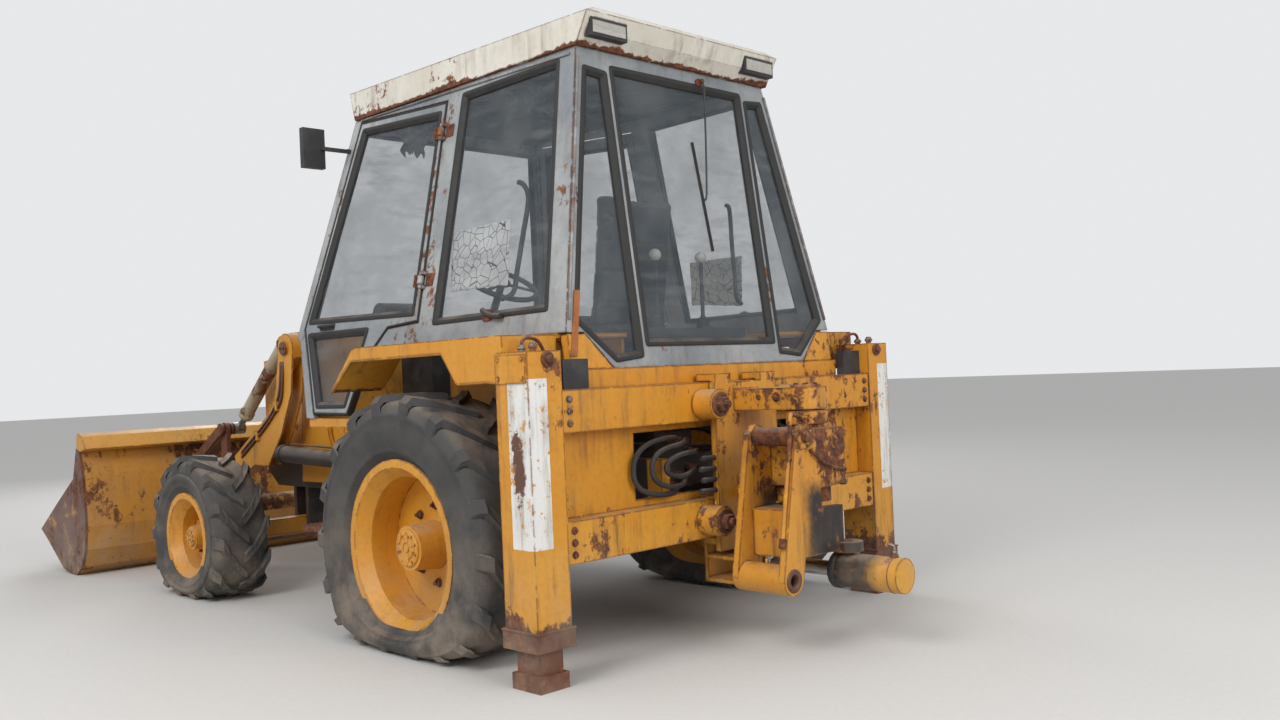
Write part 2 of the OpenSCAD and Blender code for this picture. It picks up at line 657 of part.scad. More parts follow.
module roof() {
    z0 = cab_z1;
    color(cream) difference() {
        hull() {
            intersection() {
                slab(-620, 620) polygon([[-694, z0], [-768, roof_z - 45], [1045, roof_z - 25], [1010, z0]]);
                box(-big, big, -620, 620, z0, roof_z);
            }
            slab(-555, 555) polygon([[-740, z0 + 50], [-740, roof_z - 20], [1000, roof_z], [1000, z0 + 50]]);
        }
        for (s = [-1, 1]) {
            translate([-780, s * 490 - 105, z0 + 28]) cube([60, 210, 75]);
            translate([990, s * 460 - 105, z0 + 28]) cube([80, 210, 75]);
        }
    }
}
module roof_lamps() {
    z0 = cab_z1;
    color(black) for (s = [-1, 1]) {
        translate([-760, s * 490 - 105, z0 + 28]) cube([40, 210, 75]);
        translate([990, s * 460 - 105, z0 + 28]) cube([30, 210, 75]);
    }
}
// Lower cab: floor, rear wall under the window, scuttle and inner arches
fender_in = 862;
module cab_base() {
    color(yellow) {
        box(-760, 1062, -rail_y - 120, rail_y + 120, 940, 965);
        both() box(440, 1062, rail_y + 120 - eps, 914, 940, 965);
        both() box(640, 1062, 874, 914, 964, post_foot_z);
        both() slab(rail_y + 100, rail_y + 120) polygon([[-760, 964], [440, 964], [440, cab_z0 - 19], [-760, cab_z0 - 19]]);
        both() box(-780, 440, rail_y + 100, fender_in, cab_z0 - 20, cab_z0);
        box(-800, -760, -rail_y - 120, rail_y + 120, 940, rear_low_z);
        box(-860, -780, -fender_in, fender_in, slide_top_z, rear_low_z);
        both() on_rear(0, post_t) rear_shape([[624, rear_low_z - 5], [760, cab_z0 - 6], [850, cab_z0 - 6],
            [850, rear_low_z - 5]]);
        difference() {
            slab(-900, 900) polygon([[1255, scuttle_z], [1286, scuttle_z], [1062, 964], [1031, 964]]);
            both() on_side(-300, post_t + 6) translate([-3000, -3000]) square(6000);
        }
        both() for (x = [-600, 800]) box(x, x + 60, rail_y - 60, rail_y, rail_z1, 940);
    }
}
module fenders() {
    color(yellow) both() difference() {
        slab(fender_in, fender_y) polygon([[475, 1110], [286, 1294], [250, fender_z], [-772, fender_z], [-772, 1120],
            [-673, 1132], [-476, 1128], [-380, 1252], [295, 1247]]);
        slab(fender_in - eps, fender_y - fender_t) polygon([[475, 1090], [458, 1110], [276, 1284],
            [250, fender_z - fender_t], [-760, fender_z - fender_t], [-760, 1000], [400, 1000]]);
    }
}

module seat() {
    color(black) {
        box(-230, 250, -250, 250, 1300 + seat_gap, 1420);
        translate([-350, -240, 1330]) rotate([0, -8, 0]) cube([110, 480, 640]);
    }
}
module seat_base() {
    color(black) {
        box(-150, 150, -150, 150, 965, 1200);
        box(-240, 240, -220, 220, 1199, 1300);
        slab(-60, 60) polygon([[-239, 1210], [-239, 1290], [-350.3, 1329], [-371.4, 1480], [-393, 1480], [-375, 1210]]);
    }
}
module steering_wheel() {
    color(black) {
        translate([640, 0, 1640]) rotate([0, -30, 0]) {
            rotate_extrude() translate([190, 0]) circle(r = 14, $fn = 16);
            cylinder(h = 12, r = 40);
            for (a = [0, 120, 240]) rotate([0, 0, a]) translate([30, -8, 0]) cube([165, 16, 10]);
            translate([0, 0, -205]) cylinder(h = 206, r = 20);
        }
    }
}
module console() {
    color(black) {
        box(700, 975, -420, 420, 965, 1440);
        translate([640, 0, 1640]) rotate([0, -30, 0]) translate([0, 0, -300]) cylinder(h = 95, r = 32);
        box(-740, -560, -330, 330, 965, 1330);
        for (y = [-150, 150]) {
            translate([-640, y, 1329]) cylinder(h = 330, r = 9);
            translate([-640, y, 1659]) sphere(r = 26);
        }
    }
}
module tanks() {
    color(black) {
        box(720, 1090, rail_y, 780, 480, 800);
        box(720, 1090, -780, -rail_y, 480, 800);
    }
}
module steps() {
    color(rust) both() {
        box(700, 1100, 781, 960, 430, 455);
        box(700, 1100, 780, 800, 455, 560);
    }
}
module air_cleaner() {
    x = bonnet_x0 + 90;
    color(black) {
        ybar(x, bonnet_z + 100, -10, 260, 75);
        slab(80, 160) polygon([for (q = [-40, 40]) [x + q, bonnet_top(x + q) + seat_gap], [x + 40, bonnet_z + 60],
            [x - 40, bonnet_z + 60]]);
    }
}
module rear_lamps() {
    color(black) for (y = [820, -1000]) box(-905, -861, y, y + 130, slide_top_z, 1205);
}
module side_mirror() {
    color(black) {
        on_side_at(1035, 2340, 20) translate([-10, -20, -10]) cube([20, 20, 20]);
        translate([1025, side_y(2340) + 15, 2332]) cube([20, 150, 18]);
        translate([1040, 780, 2240]) cube([35, 120, 200]);
    }
}

// Back frame
module back_frame() {
    inner = stab_y - stab_w;
    color(yellow) {
        for (z = [slide_low_z, slide_top_z - slide_h]) box(slide_x, slide_x + slide_d, -inner, inner, z, z + slide_h);
        difference() {
            box(slide_x + slide_d - 20, slide_x + slide_d + 5, -inner, inner, slide_low_z + slide_h - eps,
                slide_top_z - slide_h + eps);
            box(slide_x, slide_x + 2 * slide_d, -560, 560, slide_low_z + slide_h + 30, slide_top_z - slide_h - 30);
        }
        both() difference() {
            box(stab_x, stab_x + stab_d, inner, stab_y, stab_z0, stab_z1);
            box(stab_x + 22, stab_x + stab_d - 22, inner + 22, stab_y - 22, stab_z0 + 70, stab_z1 - 22);
            box(stab_x + 27 - pad_gap, stab_x + stab_d - 27 + pad_gap, inner + 27 - pad_gap, stab_y - 27 + pad_gap,
                stab_z0 - eps, stab_z0 + 80);
        }
        both() box(slide_x + slide_d + 5, rail_x0, rail_y - 50, rail_y, rail_z0, rail_z1);
    }
}
leg_play = 5;
pad_gap = 0.4;
module stabiliser(side) {
    inner = stab_y - stab_w;
    x0 = stab_x + 22 + leg_play;
    y0 = inner + 22 + leg_play;
    color(rust) scale_side(side) {
        box(x0, stab_x + stab_d - 22 - leg_play, y0, stab_y - 22 - leg_play, 60, stab_z1 - 200);
        box(x0 - 15, stab_x + stab_d - 22 - leg_play + 15, y0 - 15, stab_y - 22 - leg_play + 15, 0, 60);
    }
}
module carriage() {
    g = side_gap;
    color(yellow) translate([0, carriage_y, 0]) {
        box(slide_x - g - 30, slide_x - g, -carriage_hw, carriage_hw, slide_low_z - 60, slide_top_z - 2);
        for (z = [slide_top_z + g, slide_low_z - g - 30]) for (s = [-1, 1])
            box(slide_x - g - 30, slide_x + slide_d - 30, s * 150 - 50, s * 150 + 50, z, z + 30);
        for (s = [-1, 1]) box(slide_x - g - 30, slide_x - g, s * 150 - 50, s * 150 + 50, slide_top_z - 3,
            slide_top_z + g + 30);
        for (s = [-1, 1]) {
            for (z = [slide_low_z, slide_top_z - slide_h]) box(slide_x - g - eps, slide_x - pad_gap, s * 150 - 45,
                s * 150 + 45, z + 30, z + slide_h - 30);
            box(slide_x + 5, slide_x + slide_d - 35, s * 150 - 45, s * 150 + 45, slide_top_z + pad_gap, slide_top_z + g + eps);
            box(slide_x + 5, slide_x + slide_d - 35, s * 150 - 45, s * 150 + 45, slide_low_z - g - eps, slide_low_z - pad_gap);
        }
        // Arms with the slew pins
        for (a = [[965, 90], [590, 60]]) difference() {
            union() {
                translate([slew_x, 0, a[0]]) cylinder(h = a[1], r = 85);
                box(slew_x, slide_x - g - 20, -85, 85, a[0], a[0] + a[1]);
            }
            translate([slew_x, 0, a[0] - 10]) cylinder(h = a[1] + 20, r = 30 + run_gap);
        }
        // Clamps
        for (s = [-1, 1], z = [1000, 520]) {
            xbar(slide_x - g - 100, slide_x - g - 1, s * (carriage_hw + 50), z, 62);
            box(slide_x - g - 30, slide_x - g, s > 0 ? carriage_hw - 1 : -carriage_hw - 50, s > 0 ? carriage_hw + 50 :
                -carriage_hw + 1, z - 50, z + 50);
        }
        // Lugs for the slew ram rods
        for (z = [boom_foot_z - 12 - 58, boom_foot_z - 12 + 40]) box(-1070, slide_x + slide_d - 25, -190, 190, z, z + 18);
        box(slide_x + slide_d - 45, slide_x + slide_d - 25, -190, 190, boom_foot_z - 70, slide_low_z - g);
        box(slide_x - g - 30, slide_x + slide_d - 25, -190, 190, slide_low_z - g - 30, slide_low_z - g);
    }
}
plate_t = 30;
plate_y = 130;
module kingpost() {
    color(yellow) translate([slew_x, carriage_y, 0]) rotate([0, 0, -90]) difference() {
        union() {
            for (y = [-plate_y, plate_y - plate_t]) translate([0, y, 0]) slab(0, plate_t) difference() {
                polygon([[-boom_ram_l - 50, boom_ram_z + 10], [-boom_ram_l, boom_ram_z + 50], [-100, 880], [60, 890],
                    [75, 700], [40, 660], [-100, 655], [-100, 580], [40, 575], [40, 395], [-220, 395],
                    [-boom_foot_l + 60, boom_foot_z - 20],
                    [-boom_foot_l - 60, boom_foot_z], [-boom_foot_l - 30, 480]]);
                translate([-boom_ram_l, boom_ram_z]) circle(r = 22 + run_gap);
            }
            for (z = [[905, 55], [656, 60]]) translate([0, 0, z[0]]) cylinder(h = z[1], r = 85);
            translate([0, 0, 655]) cylinder(h = 300, r = 70);
            box(-120, 60, -plate_y + eps, plate_y - eps, 660, 890);
            box(-250, 40, -plate_y + eps, plate_y - eps, 395, 430);
            box(-250, -110, -plate_y + eps, plate_y - eps, 430, 580);
            translate([60, -135, 385]) cylinder(h = 40, r = 60);
            box(0, 100, -160, 60, 385, 425);
            translate([-boom_foot_l, plate_y, boom_foot_z]) rotate([90, 0, 0]) cylinder(h = 2 * plate_y, r = 58);
            translate([0, 0, 586]) cylinder(h = 80, r = 30);
            translate([0, 0, 950]) cylinder(h = 115, r = 30);
        }
        translate([-boom_foot_l, plate_y + 10, boom_foot_z]) rotate([90, 0, 0])
            cylinder(h = 2 * plate_y + 20, r = 27);
        translate([60, -135, 380]) cylinder(h = 50, r = 25 + run_gap);
    }
}
// The pin of the missing boom ram, with the bush on it
module ram_pin() {
    color(rust) translate([slew_x, carriage_y, 0]) rotate([0, 0, -90]) {
        ybar(-boom_ram_l, boom_ram_z, -plate_y - 25, plate_y + 25, 22);
        ybar(-boom_ram_l, boom_ram_z, -plate_y + plate_t + 8, plate_y - plate_t - 8, 38);
    }
}
slew_t = [slew_x - 135, carriage_y - 60];
slew_a = [-1030, carriage_y - 60];
module slew_barrel() {
    color(yellow) difference() {
        union() {
            xbar(slew_t[0] - 260, slew_t[0] + 60, slew_t[1], boom_foot_z - 12, slew_ram_r);
            translate([slew_t[0], slew_t[1], boom_foot_z - 12]) cylinder(h = 120, r = 25);
        }
        xbar(slew_t[0] - 245, slew_t[0] + 70, slew_t[1], boom_foot_z - 12, 31);
    }
}
module slew_rod() {
    color(steel) {
        xbar(slew_t[0] + 35, slew_a[0], slew_t[1], boom_foot_z - 12, 30.5);
        translate([slew_a[0], slew_a[1], boom_foot_z - 12 - 30]) cylinder(h = 60, r = 36);
    }
}
hose_x = rail_x0 - 40;
hose_r = 11;
hoses = [
    [[-820.3, 300, 860], [-829, 300, 860], [-838, 300, 860], [-856, 304, 861], [-885, 345, 868], [-900, 410, 868], [-900, 480, 860], [-898, 540, 838],
        [-896, 580, 800], [-895, 592, 755], [-895, 585, 710], [-896, 550, 672], [-900, 490, 650], [-900, 420, 642],
        [-890, 350, 645], [-860, 307, 662], [-838, 300, 666], [-829, 300, 666], [-820.3, 300, 666]],
    [[-820.3, 240, 850], [-829, 240, 850], [-838, 240, 850], [-856, 247, 850], [-890, 290, 845], [-922, 350, 840], [-925, 420, 832], [-922, 475, 812],
        [-920, 505, 780], [-920, 510, 745], [-920, 495, 710], [-922, 455, 685], [-925, 400, 672], [-915, 340, 672],
        [-885, 285, 685], [-854, 248, 698], [-838, 240, 700], [-829, 240, 700], [-820.3, 240, 700]],
    [[-820.3, 180, 800], [-829, 180, 800], [-838, 180, 800], [-856, 187, 800], [-890, 225, 800], [-918, 290, 802], [-922, 350, 796], [-920, 400, 780],
        [-918, 425, 755], [-919, 415, 728], [-922, 370, 712], [-915, 310, 710], [-890, 245, 720], [-854, 187, 730],
        [-838, 180, 730], [-829, 180, 730], [-820.3, 180, 730]]];
module hose_run(i) { color(black) hose(hoses[i], hose_r); }

datum() main_frame();
datum() rear_axle();
datum() front_axle();
datum() engine();
datum() bonnet();
datum() grille();
datum() loader_towers();
datum() back_frame();
datum() fenders();
datum() cab_base();
datum() cab_frame();
datum() cab_glass();
datum() roof();
datum() roof_lamps();
datum() seat();
datum() seat_base();
datum() steering_wheel();
datum() console();
datum() tanks();
datum() steps();
datum() air_cleaner();
datum() rear_lamps();
datum() side_mirror();
for (i = [0 : 2]) datum() hose_run(i);
datum() rim_rear(1);  // rim_rear_left
datum() tyre_rear(1);  // tyre_rear_left
datum() rim_rear(-1);  // rim_rear_right
datum() tyre_rear(-1);  // tyre_rear_right
datum() knuckle(1);  // knuckle_left
datum() knuckle(-1);  // knuckle_right
datum() tie_rod();
datum() rim_front(1);  // rim_front_left
datum() tyre_front(1);  // tyre_front_left
datum() rim_front(-1);  // rim_front_right
datum() tyre_front(-1);  // tyre_front_right
datum() door(1);  // door_left
datum() door_glass(1);  // door_glass_left
datum() door(-1);  // door_right
datum() door_glass(-1);  // door_glass_right
datum() loader_arms();
datum() bucket();
datum() tilt_levers();
datum() tilt_links();
datum() lift_barrels();
datum() lift_rods();
datum() tilt_barrels();
datum() tilt_rods();
datum() carriage();
datum() kingpost();
datum() ram_pin();
datum() slew_barrel();
datum() slew_rod();
datum() stabiliser(1);  // stabiliser_left
datum() stabiliser(-1);  // stabiliser_right
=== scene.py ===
"""Looks of a parked backhoe loader: weathered paint, glass, flat tyres, hoses and fittings.

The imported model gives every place. X points forward, Y to the left, Z up, in metres.
"""

import json
import logging
import math
from dataclasses import dataclass
from enum import Enum

import bmesh
import bpy
from mathutils import Matrix, Vector

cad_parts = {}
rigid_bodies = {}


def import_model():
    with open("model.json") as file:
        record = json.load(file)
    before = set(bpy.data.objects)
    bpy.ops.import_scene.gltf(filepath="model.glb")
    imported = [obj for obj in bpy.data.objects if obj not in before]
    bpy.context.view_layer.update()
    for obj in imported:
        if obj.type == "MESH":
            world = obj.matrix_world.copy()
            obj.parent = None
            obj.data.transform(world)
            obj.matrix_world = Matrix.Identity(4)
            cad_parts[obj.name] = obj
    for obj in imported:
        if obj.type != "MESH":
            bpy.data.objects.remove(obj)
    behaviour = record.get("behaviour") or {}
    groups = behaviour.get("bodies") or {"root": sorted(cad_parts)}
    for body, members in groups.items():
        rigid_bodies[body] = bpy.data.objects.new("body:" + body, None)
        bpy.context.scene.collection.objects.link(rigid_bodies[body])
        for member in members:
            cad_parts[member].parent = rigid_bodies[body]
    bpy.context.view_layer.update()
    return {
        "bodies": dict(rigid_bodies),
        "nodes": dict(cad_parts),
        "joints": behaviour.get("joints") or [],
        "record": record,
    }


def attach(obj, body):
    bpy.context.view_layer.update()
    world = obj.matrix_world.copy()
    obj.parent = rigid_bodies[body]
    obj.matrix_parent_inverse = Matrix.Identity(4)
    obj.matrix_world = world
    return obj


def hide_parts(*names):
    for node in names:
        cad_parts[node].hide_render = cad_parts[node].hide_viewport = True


LOG = logging.getLogger("backhoe")
Colour = tuple[float, float, float]
Point = tuple[float, float, float]
Shape = tuple[list[Point], list[tuple[int, ...]]]

UP = Vector((0, 0, 1))
AHEAD = Vector((1, 0, 0))
BACK = Vector((-1, 0, 0))

SAND_DARK: Colour = (0.30, 0.22, 0.15)
SAND_PALE: Colour = (0.52, 0.42, 0.32)
RUST_DEEP: Colour = (0.045, 0.016, 0.010)
RUST_BROWN: Colour = (0.17, 0.055, 0.020)
RUST_ORANGE: Colour = (0.30, 0.115, 0.040)
RUSTY_SIDE: Colour = (0.12, 0.05, 0.035)
RUSTY_PEEL: Colour = (0.105, 0.042, 0.022)
OIL_BLACK: Colour = (0.012, 0.009, 0.008)
PANEL_WHITE: Colour = (0.70, 0.69, 0.66)
PANEL_STAINED: Colour = (0.42, 0.38, 0.32)
DIRT: Colour = (0.10, 0.055, 0.025)
GLASS_DUST: Colour = (0.55, 0.50, 0.43)
FLOOR_DARK: Colour = (0.56, 0.54, 0.51)
FLOOR_PALE: Colour = (0.64, 0.62, 0.59)
SKY_LIGHT: Colour = (0.62, 0.64, 0.67)
SKY_SEEN: Colour = (0.80, 0.81, 0.82)


class Side(Enum):
    """The machine's left and right."""

    LEFT = 1
    RIGHT = -1

    @property
    def word(self) -> str:
        """The side's name as pieces and bodies spell it."""
        return self.name.lower()


class Axis(Enum):
    """A direction that a turned piece is turned about."""

    X = 0
    Y = 1
    Z = 2


# Shader graphs


class Graph:
    """A node tree being built, with short calls to add and join nodes."""

    def __init__(self, tree: bpy.types.NodeTree) -> None:
        """Start on a tree.

        Args:
            tree: The material's or group's node tree.
        """
        self.tree = tree

    def add(self, kind: str, **settings: object) -> bpy.types.Node:
        """Add a node.

        Args:
            kind: The node's Blender type.
            settings: Properties of the node, or values of its inputs by name.

        Returns:
            The new node.
        """
        node = self.tree.nodes.new(kind)
        for name, value in settings.items():
            if hasattr(node, name):
                setattr(node, name, value)
            else:
                node.inputs[name.replace("_", " ")].default_value = value
        return node

    def join(self, source: bpy.types.NodeSocket, target: bpy.types.NodeSocket) -> None:
        """Link an output to an input."""
        self.tree.links.new(source, target)

    def feed(self, value: object, socket: bpy.types.NodeSocket) -> None:
        """Give a socket a number or a link."""
        if isinstance(value, bpy.types.NodeSocket):
            self.join(value, socket)
        else:
            socket.default_value = value

    def maths(self, operation: str, a: object, b: object = 0.0, clamp: bool = False) -> bpy.types.NodeSocket:
        """Combine two values.

        Args:
            operation: The Math node's operation.
            a: A number or a socket.
            b: A number or a socket.
            clamp: Keep the result from 0 to 1.

        Returns:
            The result's socket.
        """
        node = self.add("ShaderNodeMath", operation=operation, use_clamp=clamp)
        self.feed(a, node.inputs[0])
        self.feed(b, node.inputs[1])
        return node.outputs[0]

    def times(self, a: object, b: object, clamp: bool = False) -> bpy.types.NodeSocket:
        """Multiply two values."""
        return self.maths("MULTIPLY", a, b, clamp)

    def plus(self, a: object, b: object) -> bpy.types.NodeSocket:
        """Add two values."""
        return self.maths("ADD", a, b)

    def ramp(self, value: bpy.types.NodeSocket, low: object, high: object, to_low: float = 0.0,
             to_high: float = 1.0) -> bpy.types.NodeSocket:
        """Map a range smoothly.

        Args:
            value: The socket to map.
            low: Where the result is to_low.
            high: Where the result is to_high.
            to_low: The result's first value.
            to_high: The result's last value.

        Returns:
            The result's socket.
        """
        node = self.add("ShaderNodeMapRange", interpolation_type="SMOOTHSTEP")
        self.join(value, node.inputs["Value"])
        self.feed(low, node.inputs["From Min"])
        self.feed(high, node.inputs["From Max"])
        node.inputs["To Min"].default_value = to_low
        node.inputs["To Max"].default_value = to_high
        return node.outputs["Result"]

    def mix(self, factor: object, a: object, b: object, blend: str = "MIX") -> bpy.types.NodeSocket:
        """Blend two colours.

        Args:
            factor: A number or a socket from 0 to 1.
            a: The first colour.
            b: The second colour.
            blend: The Mix node's blend type.

        Returns:
            The blended colour's socket.
        """
        node = self.add("ShaderNodeMix", data_type="RGBA", blend_type=blend)
        node.clamp_factor = True
        self.feed(factor, node.inputs[0])
        self.feed((*a, 1.0) if isinstance(a, tuple) else a, node.inputs[6])
        self.feed((*b, 1.0) if isinstance(b, tuple) else b, node.inputs[7])
        return node.outputs[2]

    def noise(self, vector: bpy.types.NodeSocket, scale: float, detail: float = 5.0,
              roughness: float = 0.6) -> bpy.types.NodeSocket:
        """Add a noise texture and return its value.

        Args:
            vector: The place in the texture.
            scale: How fine the noise is.
            detail: How many octaves it has.
            roughness: The share of the finer octaves.

        Returns:
            The value's socket.
        """
        node = self.add("ShaderNodeTexNoise", Scale=scale, Detail=detail, Roughness=roughness)
        self.join(vector, node.inputs["Vector"])
        return node.outputs["Fac"]

    def stretch(self, vector: bpy.types.NodeSocket, scale: Point) -> bpy.types.NodeSocket:
        """Scale a vector along its axes.

        Args:
            vector: The vector.
            scale: The factor of each axis.

        Returns:
            The scaled vector's socket.
        """
        node = self.add("ShaderNodeMapping", Scale=scale)
        self.join(vector, node.inputs["Vector"])
        return node.outputs["Vector"]

    def object_point(self) -> bpy.types.NodeSocket:
        """Return the Object coordinates."""
        return self.add("ShaderNodeTexCoord").outputs["Object"]


def new_group(name: str, inputs: dict[str, object], outputs: dict[str, str]) -> tuple[Graph, dict, dict]:
    """Make a shader node group with named sockets.

    Args:
        name: The group's name.
        inputs: Each input's name and default: a number or a colour.
        outputs: Each output's name and socket type.

    Returns:
        The graph, its input sockets and its output sockets, by name.
    """
    tree = bpy.data.node_groups.new(name, "ShaderNodeTree")
    for key, value in inputs.items():
        kind = "NodeSocketColor" if isinstance(value, tuple) else "NodeSocketFloat"
        socket = tree.interface.new_socket(key, in_out="INPUT", socket_type=kind)
        socket.default_value = (*value, 1.0) if isinstance(value, tuple) else value
    for key, kind in outputs.items():
        tree.interface.new_socket(key, in_out="OUTPUT", socket_type=kind)
    graph = Graph(tree)
    start = graph.add("NodeGroupInput")
    end = graph.add("NodeGroupOutput")
    return graph, {k: start.outputs[k] for k in inputs}, {k: end.inputs[k] for k in outputs}


def edge_wear_group() -> bpy.types.NodeTree:
    """Build the mask of worn edges and corners.

    Returns:
        The node group.
    """
    graph, ins, outs = new_group("edge_wear", {"Width": 0.012, "Amount": 1.0}, {"Mask": "NodeSocketFloat"})
    bevel = graph.add("ShaderNodeBevel", samples=4)
    graph.join(ins["Width"], bevel.inputs["Radius"])
    normal = graph.add("ShaderNodeNewGeometry").outputs["Normal"]
    dot = graph.add("ShaderNodeVectorMath", operation="DOT_PRODUCT")
    graph.join(bevel.outputs["Normal"], dot.inputs[0])
    graph.join(normal, dot.inputs[1])
    raw = graph.maths("SUBTRACT", 1.0, dot.outputs["Value"], clamp=True)
    broken = graph.noise(graph.object_point(), 22.0, 6.0, 0.7)
    mask = graph.times(graph.ramp(raw, 0.008, 0.10), graph.ramp(broken, 0.36, 0.54))
    graph.join(graph.times(mask, ins["Amount"], clamp=True), outs["Mask"])
    return graph.tree


def dust_group() -> bpy.types.NodeTree:
    """Build the mask of sand that lies on upward faces and low down.

    Returns:
        The node group.
    """
    graph, ins, outs = new_group("dust", {"Amount": 0.5, "Low Height": 0.5},
                                 {"Mask": "NodeSocketFloat", "Color": "NodeSocketColor"})
    point = graph.object_point()
    split = graph.add("ShaderNodeSeparateXYZ")
    graph.join(graph.add("ShaderNodeNewGeometry").outputs["Normal"], split.inputs[0])
    place = graph.add("ShaderNodeSeparateXYZ")
    graph.join(point, place.inputs[0])
    cloud = graph.noise(point, 5.0, 7.0, 0.65)
    up = graph.times(graph.ramp(split.outputs["Z"], 0.35, 0.95), graph.ramp(cloud, 0.3, 0.65))
    low = graph.maths("SUBTRACT", 1.0, graph.maths("DIVIDE", place.outputs["Z"], ins["Low Height"]),
                      clamp=True)
    low = graph.times(low, graph.ramp(cloud, 0.35, 0.7))
    both = graph.maths("MAXIMUM", up, low)
    graph.join(graph.times(both, ins["Amount"], clamp=True), outs["Mask"])
    grain = graph.noise(point, 120.0, 3.0, 0.6)
    graph.join(graph.mix(grain, SAND_DARK, SAND_PALE), outs["Color"])
    return graph.tree


def rust_group() -> bpy.types.NodeTree:
    """Build patchy rust: a mask, its colour and its height.

    Returns:
        The node group.
    """
    graph, ins, outs = new_group(
        "rust", {"Amount": 0.3, "Edge": 0.0, "Scale": 1.0},
        {"Mask": "NodeSocketFloat", "Color": "NodeSocketColor", "Height": "NodeSocketFloat"})
    point = graph.object_point()
    scaled = graph.add("ShaderNodeVectorMath", operation="SCALE")
    graph.join(point, scaled.inputs[0])
    graph.join(ins["Scale"], scaled.inputs["Scale"])
    base = scaled.outputs["Vector"]
    broad = graph.noise(base, 2.1, 4.0, 0.55)
    fine = graph.noise(base, 16.0, 9.0, 0.72)
    runs = graph.noise(graph.stretch(base, (24.0, 24.0, 1.8)), 1.0, 5.0, 0.6)
    total = graph.plus(graph.times(broad, 0.45), graph.times(fine, 0.4))
    total = graph.plus(total, graph.times(runs, 0.15))
    total = graph.plus(total, graph.times(ins["Edge"], 0.28))
    level = graph.maths("SUBTRACT", 0.72, graph.times(ins["Amount"], 0.34))
    mask = graph.ramp(total, level, graph.plus(level, 0.035))
    graph.join(mask, outs["Mask"])
    tone = graph.noise(base, 34.0, 6.0, 0.7)
    deep = graph.mix(graph.ramp(tone, 0.35, 0.65), RUST_DEEP, RUST_BROWN)
    graph.join(graph.mix(graph.ramp(fine, 0.5, 0.75), deep, RUST_ORANGE), outs["Color"])
    graph.join(graph.times(mask, graph.maths("SUBTRACT", tone, 0.4)), outs["Height"])
    return graph.tree


def grime_group() -> bpy.types.NodeTree:
    """Build the mask of dirt that runs down from above and gathers in clouds.

    Returns:
        The node group.
    """
    graph, ins, outs = new_group("grime", {"Amount": 0.4}, {"Mask": "NodeSocketFloat"})
    point = graph.object_point()
    runs = graph.noise(graph.stretch(point, (19.0, 19.0, 1.9)), 1.0, 8.0, 0.68)
    cloud = graph.noise(point, 3.2, 6.0, 0.6)
    mask = graph.times(graph.ramp(runs, 0.44, 0.74), graph.ramp(cloud, 0.40, 0.64))
    graph.join(graph.times(mask, ins["Amount"], clamp=True), outs["Mask"])
    return graph.tree


GROUPS = {"edge_wear": edge_wear_group, "dust": dust_group, "rust": rust_group, "grime": grime_group}


def use_group(graph: Graph, name: str, **values: object) -> dict[str, bpy.types.NodeSocket]:
    """Place a shared node group in a material.

    Args:
        graph: The material's graph.
        name: The group's name in GROUPS.
        values: Inputs by name, with _ for a space.

    Returns:
        The group's output sockets by name.
    """
    tree = bpy.data.node_groups.get(name) or GROUPS[name]()
    node = graph.add("ShaderNodeGroup")
    node.node_tree = tree
    for key, value in values.items():
        graph.feed(value, node.inputs[key.replace("_", " ")])
    return {socket.name: socket for socket in node.outputs}


# Finishes


def start_material(name: str) -> tuple[bpy.types.Material, Graph, bpy.types.Node]:
    """Make an empty node material with its Principled shader.

    Args:
        name: The material's name.

    Returns:
        The material, its graph and the shader node.
    """
    material = bpy.data.materials.new(name)
    material.use_nodes = True
    material.node_tree.nodes.clear()
    graph = Graph(material.node_tree)
    shader = graph.add("ShaderNodeBsdfPrincipled")
    output = graph.add("ShaderNodeOutputMaterial")
    graph.join(shader.outputs[0], output.inputs[0])
    return material, graph, shader


def add_bump(graph: Graph, shader: bpy.types.Node, height: bpy.types.NodeSocket, distance: float,
             strength: float = 1.0) -> None:
    """Drive a shader's normal from a height.

    Args:
        graph: The material's graph.
        shader: The Principled shader.
        height: The height's socket.
        distance: The height of one unit, in metres.
        strength: The bump's strength.
    """
    bump = graph.add("ShaderNodeBump", Strength=strength, Distance=distance)
    graph.join(height, bump.inputs["Height"])
    graph.join(bump.outputs["Normal"], shader.inputs["Normal"])


class Mark(Enum):
    """What is painted or spilt over a painted piece."""

    NONE = 0
    WHITE_PANELS = 1
    OIL = 2
    RUSTY_SIDES = 3


